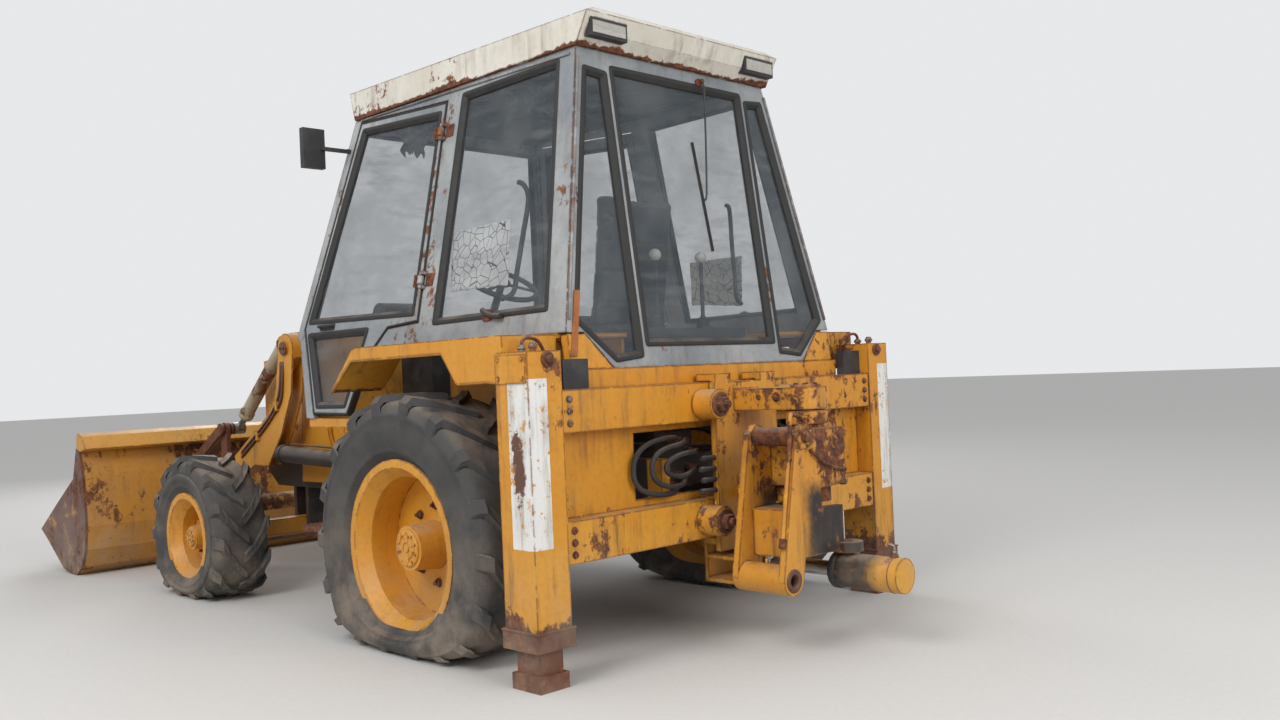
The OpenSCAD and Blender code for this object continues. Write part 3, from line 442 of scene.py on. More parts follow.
@dataclass(frozen=True)
class Paint:
    """Old paint with rust, worn edges, grime and sand."""

    name: str
    colour: Colour
    faded: Colour
    rust: float = 0.3
    edge: float = 0.8
    dust: float = 0.5
    grime: float = 0.5
    gloss: float = 0.42
    mark: Mark = Mark.NONE
    mark_low: Point = (0.0, 0.0, 0.0)
    mark_high: Point = (0.0, 0.0, 0.0)
    peel: Point = (-2.170, 0.0, 0.815)
    peel_scale: Point = (24.0, 0.0, 6.5)
    seep: tuple[float, float] = (-2.0, -1.0)

    def marked(self, graph: Graph, colour: bpy.types.NodeSocket) -> bpy.types.NodeSocket:
        """Lay the white panels or the oil over the paint.

        Args:
            graph: The material's graph.
            colour: The paint's colour so far.

        Returns:
            The colour with the mark.
        """
        if self.mark is Mark.NONE:
            return colour
        point = graph.object_point()
        split = graph.add("ShaderNodeSeparateXYZ")
        graph.join(point, split.inputs[0])
        size = [graph.maths("ABSOLUTE", split.outputs[i]) if i == 1 else split.outputs[i] for i in range(3)]
        if self.mark is Mark.RUSTY_SIDES:
            bare = graph.ramp(size[1], self.mark_low[1], self.mark_low[1] + 0.004)
            patches = graph.ramp(graph.noise(point, 7.0, 7.0, 0.7), 0.34, 0.44)
            return graph.mix(graph.times(bare, patches), colour, RUSTY_SIDE)
        soft = 0.001 if self.mark is Mark.WHITE_PANELS else 0.09
        inside: object = 1.0
        for i in range(3):
            wobble = graph.times(graph.noise(point, 30.0 if soft < 0.01 else 9.0, 5.0, 0.7),
                                 0.006 if soft < 0.01 else 0.10)
            above = graph.ramp(graph.plus(size[i], wobble), self.mark_low[i], self.mark_low[i] + soft)
            below = graph.ramp(graph.maths("SUBTRACT", size[i], wobble), self.mark_high[i] - soft,
                               self.mark_high[i], 1.0, 0.0)
            inside = graph.times(inside, graph.times(above, below))
        if self.mark is Mark.OIL:
            return graph.mix(inside, colour, OIL_BLACK)
        chips = graph.ramp(graph.noise(point, 26.0, 8.0, 0.75), 0.57, 0.61, 1.0, 0.0)
        stain = graph.ramp(graph.noise(graph.stretch(point, (40.0, 40.0, 3.0)), 1.0, 6.0, 0.65), 0.45, 0.75)
        white = graph.mix(stain, PANEL_WHITE, PANEL_STAINED)
        colour = graph.mix(graph.times(inside, chips), colour, white)
        apart = graph.add("ShaderNodeVectorMath", operation="DISTANCE")
        graph.join(graph.stretch(point, self.peel_scale), apart.inputs[0])
        apart.inputs[1].default_value = tuple(a * b for a, b in zip(self.peel_scale, self.peel))
        torn = graph.times(graph.noise(point, 19.0, 9.0, 0.8), 3.4)
        ragged = graph.plus(apart.outputs["Value"], torn)
        bare = graph.times(graph.ramp(ragged, 2.46, 2.54, 1.0, 0.0), graph.ramp(size[1], 1.1, 1.12))
        return graph.mix(bare, colour, RUSTY_PEEL)

    def build(self) -> bpy.types.Material:
        """Make the material.

        Returns:
            The material.
        """
        material, graph, shader = start_material(self.name)
        point = graph.object_point()
        fade = graph.ramp(graph.noise(point, 1.7, 5.0, 0.6), 0.35, 0.7)
        colour = graph.mix(fade, self.colour, self.faded)
        mottle = graph.noise(point, 45.0, 4.0, 0.6)
        colour = graph.mix(graph.ramp(mottle, 0.45, 0.75, 0.0, 0.22), colour, self.faded, "MULTIPLY")
        colour = self.marked(graph, colour)
        grime = use_group(graph, "grime", Amount=self.grime)["Mask"]
        colour = graph.mix(grime, colour, DIRT)
        edge = use_group(graph, "edge_wear", Amount=self.edge)["Mask"]
        height = graph.add("ShaderNodeSeparateXYZ")
        graph.join(point, height.inputs[0])
        edge = graph.plus(edge, graph.ramp(height.outputs["Z"], *self.seep, 0.75, 0.0))
        rust = use_group(graph, "rust", Amount=self.rust, Edge=edge)
        colour = graph.mix(rust["Mask"], colour, rust["Color"])
        dust = use_group(graph, "dust", Amount=self.dust, Low_Height=0.55)
        colour = graph.mix(dust["Mask"], colour, dust["Color"])
        graph.join(colour, shader.inputs["Base Color"])
        dull = graph.maths("MAXIMUM", rust["Mask"], dust["Mask"])
        rough = graph.ramp(dull, 0.0, 1.0, self.gloss, 0.88)
        graph.join(graph.plus(rough, graph.times(mottle, 0.1)), shader.inputs["Roughness"])
        height = graph.plus(rust["Height"], graph.times(graph.noise(point, 9.0, 4.0), 0.3))
        add_bump(graph, shader, height, 0.003, 0.55)
        return material


@dataclass(frozen=True)
class Rubber:
    """Tyre or hose rubber, greyed by sun and sand."""

    name: str
    colour: Colour = (0.028, 0.027, 0.027)
    grey: Colour = (0.070, 0.066, 0.062)
    dust: float = 0.5
    crack: float = 0.5

    def build(self) -> bpy.types.Material:
        """Make the material.

        Returns:
            The material.
        """
        material, graph, shader = start_material(self.name)
        point = graph.object_point()
        age = graph.ramp(graph.noise(point, 6.0, 7.0, 0.65), 0.32, 0.72)
        colour = graph.mix(age, self.colour, self.grey)
        dust = use_group(graph, "dust", Amount=self.dust, Low_Height=0.75)
        colour = graph.mix(dust["Mask"], colour, dust["Color"])
        graph.join(colour, shader.inputs["Base Color"])
        graph.join(graph.ramp(age, 0.0, 1.0, 0.62, 0.88), shader.inputs["Roughness"])
        cells = graph.add("ShaderNodeTexVoronoi", feature="DISTANCE_TO_EDGE", Scale=55.0)
        graph.join(point, cells.inputs["Vector"])
        cracks = graph.ramp(cells.outputs["Distance"], 0.0, 0.06)
        grain = graph.noise(point, 160.0, 4.0, 0.6)
        height = graph.plus(graph.times(cracks, self.crack), graph.times(grain, 0.4))
        add_bump(graph, shader, height, 0.0012, 0.6)
        return material


@dataclass(frozen=True)
class Metal:
    """Bare or chromed steel with some rust and oil."""

    name: str
    colour: Colour = (0.45, 0.44, 0.42)
    rust: float = 0.35
    roughness: float = 0.35

    def build(self) -> bpy.types.Material:
        """Make the material.

        Returns:
            The material.
        """
        material, graph, shader = start_material(self.name)
        point = graph.object_point()
        rust = use_group(graph, "rust", Amount=self.rust, Edge=0.0, Scale=1.6)
        smear = graph.noise(graph.stretch(point, (8.0, 60.0, 60.0)), 1.0, 4.0, 0.6)
        colour = graph.mix(graph.ramp(smear, 0.4, 0.7), self.colour, tuple(0.55 * c for c in self.colour))
        graph.join(graph.mix(rust["Mask"], colour, rust["Color"]), shader.inputs["Base Color"])
        graph.join(graph.ramp(rust["Mask"], 0.0, 1.0, 1.0, 0.0), shader.inputs["Metallic"])
        graph.join(graph.ramp(rust["Mask"], 0.0, 1.0, self.roughness, 0.9), shader.inputs["Roughness"])
        add_bump(graph, shader, rust["Height"], 0.002, 0.5)
        return material


@dataclass(frozen=True)
class Plastic:
    """Dull moulded plastic, foam rubber or painted black steel."""

    name: str
    colour: Colour = (0.018, 0.018, 0.019)
    worn: Colour = (0.06, 0.057, 0.054)
    roughness: float = 0.55
    dust: float = 0.45

    def build(self) -> bpy.types.Material:
        """Make the material.

        Returns:
            The material.
        """
        material, graph, shader = start_material(self.name)
        point = graph.object_point()
        worn = graph.ramp(graph.noise(point, 11.0, 6.0, 0.65), 0.4, 0.75)
        colour = graph.mix(worn, self.colour, self.worn)
        dust = use_group(graph, "dust", Amount=self.dust, Low_Height=0.01)
        graph.join(graph.mix(dust["Mask"], colour, dust["Color"]), shader.inputs["Base Color"])
        graph.join(graph.ramp(worn, 0.0, 1.0, self.roughness, self.roughness + 0.25),
                   shader.inputs["Roughness"])
        add_bump(graph, shader, graph.noise(point, 260.0, 3.0, 0.5), 0.0006, 0.5)
        return material


@dataclass(frozen=True)
class Glass:
    """Window or lamp glass with a film of dust."""

    name: str
    tint: Colour = (0.10, 0.13, 0.155)
    clear: float = 0.17
    film: float = 0.16

    def build(self) -> bpy.types.Material:
        """Make the material.

        Returns:
            The material.
        """
        material, graph, shader = start_material(self.name)
        point = graph.object_point()
        cloud = graph.ramp(graph.noise(point, 2.6, 7.0, 0.65), 0.35, 0.75)
        wipes = graph.ramp(graph.noise(graph.stretch(point, (3.0, 3.0, 14.0)), 1.0, 6.0, 0.6), 0.4, 0.75)
        film = graph.times(graph.maths("MAXIMUM", cloud, wipes), self.film)
        graph.join(graph.mix(film, self.tint, GLASS_DUST), shader.inputs["Base Color"])
        graph.join(graph.plus(film, self.clear), shader.inputs["Alpha"])
        graph.join(graph.ramp(film, 0.0, 0.5, 0.05, 0.45), shader.inputs["Roughness"])
        return material


@dataclass(frozen=True)
class Sheet:
    """A thin pale plastic or paper sheet with dark cracks, or a dark cloth."""

    name: str
    colour: Colour = (0.78, 0.78, 0.76)
    crack: Colour = (0.05, 0.05, 0.05)
    scale: float = 22.0
    width: float = 0.035

    def build(self) -> bpy.types.Material:
        """Make the material.

        Returns:
            The material.
        """
        material, graph, shader = start_material(self.name)
        point = graph.object_point()
        cells = graph.add("ShaderNodeTexVoronoi", feature="DISTANCE_TO_EDGE", Scale=self.scale)
        graph.join(point, cells.inputs["Vector"])
        lines = graph.ramp(cells.outputs["Distance"], self.width * 0.5, self.width, 1.0, 0.0)
        stain = graph.ramp(graph.noise(point, 9.0, 6.0, 0.6), 0.4, 0.8, 0.0, 0.35)
        colour = graph.mix(stain, self.colour, tuple(0.6 * c for c in self.colour))
        graph.join(graph.mix(lines, colour, self.crack), shader.inputs["Base Color"])
        graph.join(graph.ramp(stain, 0.0, 0.35, 0.7, 0.9), shader.inputs["Roughness"])
        return material


YELLOW: Colour = (0.56, 0.232, 0.012)
YELLOW_FADED: Colour = (0.60, 0.285, 0.030)


SLOT_FINISHES: dict[str, str] = {
    "rusty_steel": "RUSTY BOLT BRASS",
    "rubber_black": "SEAL HOSE PAPER LINING",
    "plastic_black": "BLACK KNOB",
    "body_paint": "BODY BUCKET BEAM STRAP",
    "frame_paint": "HOUSING ARMS KINGPOST",
    "cab_metal": "CAB",
    "ram_paint": "RAM TILT SLEW",
    "rod_chrome": "ROD MIRROR",
    "rim_paint": "RIM",
    "tyre_rubber": "TYRE",
    "seat_cover": "SEAT",
    "window_glass": "LAMP WINDOW",
}


class Finish(Enum):
    """Every finish on the machine."""

    BODY = Paint("yellow_sheet", YELLOW, YELLOW_FADED, rust=0.45, edge=1.0, grime=0.8)
    HOUSING = Paint("yellow_housing", YELLOW, YELLOW_FADED, rust=0.50, edge=1.0, grime=0.9,
                    mark=Mark.WHITE_PANELS, mark_low=(-2.26, 1.078, 0.52), mark_high=(-2.122, 1.20, 1.134),
                    seep=(0.16, 0.34))
    ARMS = Paint("yellow_arms", (0.55, 0.235, 0.020), YELLOW_FADED, rust=0.56, edge=1.0, grime=0.9)
    KINGPOST = Paint("yellow_kingpost", (0.54, 0.22, 0.016), YELLOW_FADED, rust=0.54, edge=1.0, grime=0.95,
                     mark=Mark.OIL, mark_low=(-2.9, -0.1, 0.30), mark_high=(-2.4, 0.17, 0.66))
    RIM = Paint("yellow_rims", (0.62, 0.27, 0.018), YELLOW_FADED, rust=0.24, edge=0.7, grime=0.5)
    BUCKET = Paint("yellow_bucket", (0.52, 0.23, 0.022), (0.42, 0.20, 0.05), rust=0.62, edge=1.0, dust=0.6,
                   mark=Mark.RUSTY_SIDES, mark_low=(0.0, 1.162, 0.0))
    BEAM = Paint("yellow_beam", (0.56, 0.26, 0.024), YELLOW_FADED, rust=0.42, edge=1.0, dust=0.4, grime=0.7)
    ROOF = Paint("cream_roof", (0.58, 0.54, 0.46), (0.70, 0.67, 0.60), rust=0.44, edge=1.0, dust=0.3,
                 grime=0.6, seep=(2.485, 2.535))
    CAB = Paint("grey_cab", (0.185, 0.205, 0.220), (0.36, 0.37, 0.365), rust=0.40, edge=0.8, dust=0.3,
                grime=0.65)
    CHASSIS = Paint("black_chassis", (0.020, 0.018, 0.017), (0.05, 0.04, 0.035), rust=0.50, edge=0.6,
                    dust=0.6)
    RUSTY = Paint("rust_brown", (0.13, 0.045, 0.022), (0.07, 0.028, 0.018), rust=0.7, edge=0.3, dust=0.4)
    RAM = Paint("black_rams", (0.022, 0.019, 0.018), (0.05, 0.04, 0.035), rust=0.32, edge=0.5, dust=0.5)
    TILT = Paint("beige_rams", (0.40, 0.33, 0.22), (0.28, 0.21, 0.14), rust=0.55, edge=0.6, dust=0.4)
    SLEW = Paint("slew_ram_paint", (0.60, 0.29, 0.026), YELLOW_FADED, rust=0.58, edge=1.0, grime=0.8,
                 mark=Mark.OIL, mark_low=(-2.86, -0.1, 0.0), mark_high=(-2.45, 0.3, 0.6))
    ROD = Metal("chrome_rod")
    BRASS = Metal("brass_nipple", (0.52, 0.36, 0.12), rust=0.2, roughness=0.4)
    MIRROR = Metal("lamp_mirror", (0.72, 0.72, 0.70), rust=0.12, roughness=0.22)
    BOLT = Metal("bolt_steel", (0.30, 0.26, 0.22), rust=0.8, roughness=0.5)
    TYRE = Rubber("grey_tyre")
    HOSE = Rubber("hose_rubber", (0.015, 0.014, 0.014), (0.04, 0.037, 0.035), dust=0.3, crack=0.1)
    BLACK = Plastic("black_moulding")
    SEAL = Plastic("seal_rubber", (0.012, 0.012, 0.012), (0.035, 0.033, 0.03), roughness=0.65, dust=0.35)
    SEAT = Plastic("seat_vinyl", (0.022, 0.022, 0.024), (0.05, 0.048, 0.045), roughness=0.5, dust=0.4)
    KNOB = Plastic("knob_white", (0.62, 0.60, 0.55), (0.50, 0.47, 0.41), roughness=0.35, dust=0.1)
    STRAP = Plastic("strap_orange", (0.36, 0.115, 0.022), (0.20, 0.075, 0.025), roughness=0.6, dust=0.3)
    WINDOW = Glass("dusty_glass")
    LAMP = Glass("lamp_glass", (0.50, 0.48, 0.44), clear=0.45, film=0.4)
    PAPER = Sheet("window_sheet")
    LINING = Sheet("torn_lining", (0.030, 0.030, 0.032), (0.10, 0.09, 0.08), scale=9.0, width=0.03)

    @property
    def slot(self) -> str:
        """The record's material slot that the finish belongs to."""
        return next(slot for slot, names in SLOT_FINISHES.items() if self.name in names.split())

    def material(self) -> bpy.types.Material:
        """Return the finish's material, and make it at its first use."""
        return bpy.data.materials.get(self.value.name) or self.value.build()


# Mesh helpers


def link(item: bpy.types.Object) -> None:
    """Put an object into the scene."""
    bpy.context.scene.collection.objects.link(item)


def joined(*meshes: bpy.types.Mesh) -> bpy.types.Mesh:
    """Put several meshes into the first one, and return it."""
    work = bmesh.new()
    for mesh in meshes:
        work.from_mesh(mesh)
    work.to_mesh(meshes[0])
    work.free()
    return meshes[0]


def grid_faces(rows: int, ring: int, around: bool = True, closed: bool = True) -> list[tuple[int, ...]]:
    """Join rows of points into four-sided faces.

    Args:
        rows: How many rows there are.
        ring: How many points are in a row.
        around: The last row joins the first.
        closed: A row's last point joins its first.

    Returns:
        The faces.
    """
    return [(i * ring + k, i * ring + (k + 1) % ring, (i + 1) % rows * ring + (k + 1) % ring,
             (i + 1) % rows * ring + k)
            for i in range(rows if around else rows - 1) for k in range(ring if closed else ring - 1)]


def finish_piece(name: str, mesh: bpy.types.Mesh, finish: Finish, body: str = "chassis",
                 slot: str = "") -> bpy.types.Object:
    """Turn a mesh into a piece of the object.

    Args:
        name: The piece's name.
        mesh: Its mesh, in place.
        finish: Its finish.
        body: The body that it rides on.
        slot: The record's material slot, where it isn't the finish's own; not used.

    Returns:
        The piece.
    """
    piece = bpy.data.objects.new(name, mesh)
    link(piece)
    mesh.materials.clear()
    mesh.materials.append(finish.material())
    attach(piece, body)
    slot or finish.slot
    LOG.info("%s: %d faces on %s", name, len(mesh.polygons), body)
    return piece


def mesh_of(name: str, points: list[Point], faces: list[tuple[int, ...]],
            smooth: bool = False) -> bpy.types.Mesh:
    """Make a clean mesh with its normals outwards.

    Args:
        name: The mesh's name.
        points: Its vertices.
        faces: Its faces.
        smooth: Shade it smoothly.

    Returns:
        The mesh.
    """
    mesh = bpy.data.meshes.new(name)
    mesh.from_pydata([tuple(p) for p in points], [], faces)
    work = bmesh.new()
    work.from_mesh(mesh)
    bmesh.ops.remove_doubles(work, verts=work.verts, dist=1e-5)
    bmesh.ops.recalc_face_normals(work, faces=work.faces)
    work.to_mesh(mesh)
    work.free()
    for face in mesh.polygons:
        face.use_smooth = smooth
    return mesh


def frame_of(direction: Vector) -> tuple[Vector, Vector]:
    """Find two unit vectors square to a direction and to each other.

    Args:
        direction: The direction, of any length.

    Returns:
        The two vectors.
    """
    direction = direction.normalized()
    other = UP if abs(direction.z) < 0.9 else AHEAD
    u = direction.cross(other).normalized()
    return u, direction.cross(u)


def turned(profile: list[tuple[float, float]], centre: Point, axis: Vector,
           segments: int = 32) -> Shape:
    """Revolve a profile.

    Args:
        profile: Points of radius and distance along the axis.
        centre: The axis's origin.
        axis: The axis's direction.
        segments: Steps round the axis.

    Returns:
        The points and faces.
    """
    axis = Vector(axis).normalized()
    u, v = frame_of(axis)
    points: list[Point] = []
    for k in range(segments):
        angle = math.tau * k / segments
        out = u * math.cos(angle) + v * math.sin(angle)
        points += [tuple(Vector(centre) + out * r + axis * h) for r, h in profile]
    return points, grid_faces(segments, len(profile), closed=False)


def tube(path: list[Point], radius: float, sides: int = 10) -> Shape:
    """Sweep a round section along a path.

    Args:
        path: The centreline's points.
        radius: The section's radius.
        sides: Sides of the section.

    Returns:
        The points and faces.
    """
    spots = [Vector(p) for p in path]
    count = len(spots)
    points: list[Point] = []
    last: Vector | None = None
    for i, spot in enumerate(spots):
        along = (spots[min(i + 1, count - 1)] - spots[max(i - 1, 0)]).normalized()
        u = frame_of(along)[0] if last is None else (last - along * last.dot(along)).normalized()
        last = u
        v = along.cross(u)
        for k in range(sides):
            angle = math.tau * k / sides
            points.append(tuple(spot + (u * math.cos(angle) + v * math.sin(angle)) * radius))
    faces = grid_faces(count, sides, around=False)
    faces += [tuple(range(sides)), tuple((count - 1) * sides + k for k in range(sides))]
    return points, faces


def smooth_path(route: list[Point], steps: int = 6) -> list[Point]:
    """Pass a smooth curve through a route's points.

    Args:
        route: The points.
        steps: Steps between two points.

    Returns:
        The curve's points.
    """
    spots = [Vector(p) for p in route]
    last = len(spots) - 1
    path: list[Point] = []
    for i in range(last):
        a, b, c, d = spots[max(i - 1, 0)], spots[i], spots[i + 1], spots[min(i + 2, last)]
        for k in range(steps):
            t = k / steps
            path.append(tuple(b + 0.5 * t
                              * (c - a + t * (2 * a - 5 * b + 4 * c - d + t * (3 * (b - c) + d - a)))))
    path.append(tuple(spots[-1]))
    return path


def merged(*shapes: Shape) -> Shape:
    """Put several shapes into one list of points and faces."""
    points: list[Point] = []
    faces: list[tuple[int, ...]] = []
    for some, more in shapes:
        start = len(points)
        points += some
        faces += [tuple(i + start for i in face) for face in more]
    return points, faces


def block(low: Point, high: Point) -> Shape:
    """Make a box from two corners.

    Args:
        low: The corner with the smallest values.
        high: The corner with the largest values.

    Returns:
        The points and faces.
    """
    points = [(x, y, z) for z in (low[2], high[2]) for y in (low[1], high[1]) for x in (low[0], high[0])]
    faces = [(0, 2, 3, 1), (4, 5, 7, 6), (0, 1, 5, 4), (2, 6, 7, 3), (0, 4, 6, 2), (1, 3, 7, 5)]
    return points, faces


def bevelled(piece: bpy.types.Object, width: float, segments: int = 2) -> bpy.types.Object:
    """Round a piece's edges.

    Args:
        piece: The piece.
        width: The bevel's width.
        segments: Its segments.

    Returns:
        The piece.
    """
    modifier = piece.modifiers.new("edges", "BEVEL")
    modifier.width = width
    modifier.segments = segments
    modifier.limit_method = "ANGLE"
    for face in piece.data.polygons:
        face.use_smooth = True
    modifier.harden_normals = True
    return piece


# Geometry Nodes


class Repeats:
    """The node tree that repeats a piece round an axis or along a line."""

    @staticmethod
    def tree(name: str) -> bpy.types.NodeTree:
        """Build the tree that turns and shifts copies of a piece.

        Args:
            name: The tree's name.

        Returns:
            The tree. Its inputs are Piece, Count, Turn, Centre, Shift and Finish.
        """
        found = bpy.data.node_groups.get(name)
        if found:
            return found
        tree = bpy.data.node_groups.new(name, "GeometryNodeTree")
        face = tree.interface
        face.new_socket("Geometry", in_out="INPUT", socket_type="NodeSocketGeometry")
        face.new_socket("Piece", in_out="INPUT", socket_type="NodeSocketObject")
        face.new_socket("Count", in_out="INPUT", socket_type="NodeSocketInt").default_value = 6
        face.new_socket("Turn", in_out="INPUT", socket_type="NodeSocketVector")
        face.new_socket("Shift", in_out="INPUT", socket_type="NodeSocketVector")
        face.new_socket("Centre", in_out="INPUT", socket_type="NodeSocketVector")
        face.new_socket("Finish", in_out="INPUT", socket_type="NodeSocketMaterial")
        face.new_socket("Geometry", in_out="OUTPUT", socket_type="NodeSocketGeometry")
        graph = Graph(tree)
        start, end = graph.add("NodeGroupInput"), graph.add("NodeGroupOutput")
        line = graph.add("GeometryNodeMeshLine", mode="OFFSET")
        graph.join(start.outputs["Count"], line.inputs["Count"])
        graph.join(start.outputs["Centre"], line.inputs["Start Location"])
        graph.join(start.outputs["Shift"], line.inputs["Offset"])
        info = graph.add("GeometryNodeObjectInfo")
        graph.join(start.outputs["Piece"], info.inputs["Object"])
        index = graph.add("GeometryNodeInputIndex")
        turn = graph.add("ShaderNodeVectorMath", operation="SCALE")
        graph.join(start.outputs["Turn"], turn.inputs[0])
        graph.join(index.outputs[0], turn.inputs["Scale"])
        place = graph.add("GeometryNodeInstanceOnPoints")
        graph.join(line.outputs[0], place.inputs["Points"])
        graph.join(info.outputs["Geometry"], place.inputs["Instance"])
        graph.join(turn.outputs["Vector"], place.inputs["Rotation"])
        real = graph.add("GeometryNodeRealizeInstances")
        graph.join(place.outputs[0], real.inputs[0])
        paint = graph.add("GeometryNodeSetMaterial")
        graph.join(real.outputs[0], paint.inputs["Geometry"])
        graph.join(start.outputs["Finish"], paint.inputs["Material"])
        graph.join(paint.outputs[0], end.inputs[0])
        return tree

    @classmethod
    def mesh(cls, name: str, part: bpy.types.Mesh, count: int, finish: Finish, centre: Point = (0, 0, 0),
             turn: Point = (0, 0, 0), shift: Point = (0, 0, 0)) -> bpy.types.Mesh:
        """Repeat a mesh and return the result.

        Args:
            name: The new mesh's name.
            part: The mesh to repeat, made round the centre.
            count: How many copies.
            finish: Their finish.
            centre: Where the first copy's origin goes.
            turn: The turn from one copy to the next, in radians about X, Y and Z.
            shift: The shift from one copy to the next.

        Returns:
            The mesh.
        """
        source = bpy.data.objects.new(name + "_one", part)
        holder = bpy.data.objects.new(name + "_all", bpy.data.meshes.new(name + "_all"))
        for item in (source, holder):
            link(item)
        modifier = holder.modifiers.new("repeat", "NODES")
        modifier.node_group = cls.tree("repeat_piece")
        values = {"Piece": source, "Count": count, "Turn": turn, "Shift": shift, "Centre": centre,
                  "Finish": finish.material()}
        for item in modifier.node_group.interface.items_tree:
            if item.in_out == "INPUT" and item.name in values:
                modifier[item.identifier] = values[item.name]
        bpy.context.view_layer.update()
        made = bpy.data.meshes.new_from_object(holder.evaluated_get(bpy.context.evaluated_depsgraph_get()))
        made.name = name
        for item in (source, holder):
            bpy.data.objects.remove(item)
        return made


def bolt_head(axis: Axis, radius: float, height: float, washer: float = 1.25) -> bpy.types.Mesh:
    """Make a hexagon head on a washer, standing on the origin.

    Args:
        axis: The direction it points in.
        radius: The hexagon's corner radius.
        height: The head's height.
        washer: The washer's radius over the head's.

    Returns:
        The mesh.
    """
    way = Vector([1.0 if axis.value == i else 0.0 for i in range(3)])
    base = turned([(0, 0), (radius * washer, 0), (radius * washer, height * 0.2), (0, height * 0.2)],
                  (0, 0, 0), way, 16)
    head = turned([(0, height * 0.2), (radius, height * 0.2), (radius, height * 0.9), (radius * 0.85, height),
                   (0, height)], (0, 0, 0), way, 6)
    return mesh_of("bolt", *merged(base, head))


# The scene's frame of reference

REAR_AXLE_X = -1.2825


def at(x: float, y: float, z: float) -> Point:
    """Turn a place measured from the rear axle and the ground into the model's frame."""
    return (x + REAR_AXLE_X, y, z)


def across(side: Side, x: float, y: float, z: float) -> Point:
    """Give a place on one side of the machine, from the rear axle."""
    return at(x, y * side.value, z)


@dataclass
class Studio:
    """The camera, floor and lamps."""

    eye: Point = (-4.128, 3.772, 1.145)
    heading: float = -45.10
    pitch: float = 0.597
    roll: float = -2.466
    focal: float = 1140.4
    width: float = 1280.0
    floor: float = 60.0

    def camera(self) -> None:
        """Place the camera where the photograph was taken from."""
        yaw, pitch, roll = (math.radians(a) for a in (self.heading, self.pitch, self.roll))
        forward = Vector((math.cos(yaw) * math.cos(pitch), math.sin(yaw) * math.cos(pitch), math.sin(pitch)))
        level = forward.cross(UP).normalized()
        right = level * math.cos(roll) + level.cross(forward) * math.sin(roll)
        turn = Matrix((right, right.cross(forward), -forward)).transposed()
        data = bpy.data.cameras.new("camera")
        data.sensor_width = 36.0
        data.lens = self.focal * data.sensor_width / self.width
        data.clip_end = 200.0
        camera = bpy.data.objects.new("camera", data)
        camera.matrix_world = Matrix.Translation(at(*self.eye)) @ turn.to_4x4()
        link(camera)
        bpy.context.scene.camera = camera

    def ground(self) -> None:
        """Lay the pale floor."""
        s = self.floor
        mesh = mesh_of("floor", [(-s, -s, 0), (s, -s, 0), (s, s, 0), (-s, s, 0)], [(0, 1, 2, 3)])
        floor = bpy.data.objects.new("floor", mesh)
        link(floor)
        material, graph, shader = start_material("floor_pale")
        grain = graph.noise(graph.object_point(), 40.0, 6.0, 0.6)
        graph.join(graph.mix(grain, FLOOR_DARK, FLOOR_PALE), shader.inputs["Base Color"])
        shader.inputs["Roughness"].default_value = 0.95
        mesh.materials.append(material)

    def lamps(self) -> None:
        """Hang the soft lamps and set the world's light."""
        # Each lamp's name, place, aim, size and power
        for name, place, aim, size, power in (
                ("key", (-3.0, 7.5, 6.5), (0.0, 0.0, 0.8), 4.5, 470.0),
                ("back_fill", (-9.0, 1.0, 4.0), (-1.5, 0.0, 0.9), 4.0, 260.0),
                ("front_fill", (8.0, -4.0, 5.0), (0.5, 0.0, 0.8), 4.0, 240.0)):
            data = bpy.data.lights.new(name, "AREA")
            data.size = size
            data.energy = power
            lamp = bpy.data.objects.new(name, data)
            lamp.location = place
            lamp.rotation_euler = (Vector(aim) - Vector(place)).to_track_quat("-Z", "Y").to_euler()
            link(lamp)
        world = bpy.data.worlds.new("world")
        bpy.context.scene.world = world
        world.use_nodes = True
        graph = Graph(world.node_tree)
        world.node_tree.nodes.clear()
        path = graph.add("ShaderNodeLightPath")
        seen = graph.maths("MAXIMUM", path.outputs["Is Camera Ray"], path.outputs["Is Glossy Ray"])
        seen = graph.maths("MAXIMUM", seen, path.outputs["Is Transmission Ray"])
        colour = graph.mix(seen, SKY_LIGHT, SKY_SEEN)
        back = graph.add("ShaderNodeBackground")
        graph.join(colour, back.inputs["Color"])
        end = graph.add("ShaderNodeOutputWorld")
        graph.join(back.outputs[0], end.inputs[0])

    def build(self) -> None:
        """Make the whole studio."""
        self.camera()
        self.ground()
        self.lamps()
        bpy.context.scene.view_settings.view_transform = "Standard"


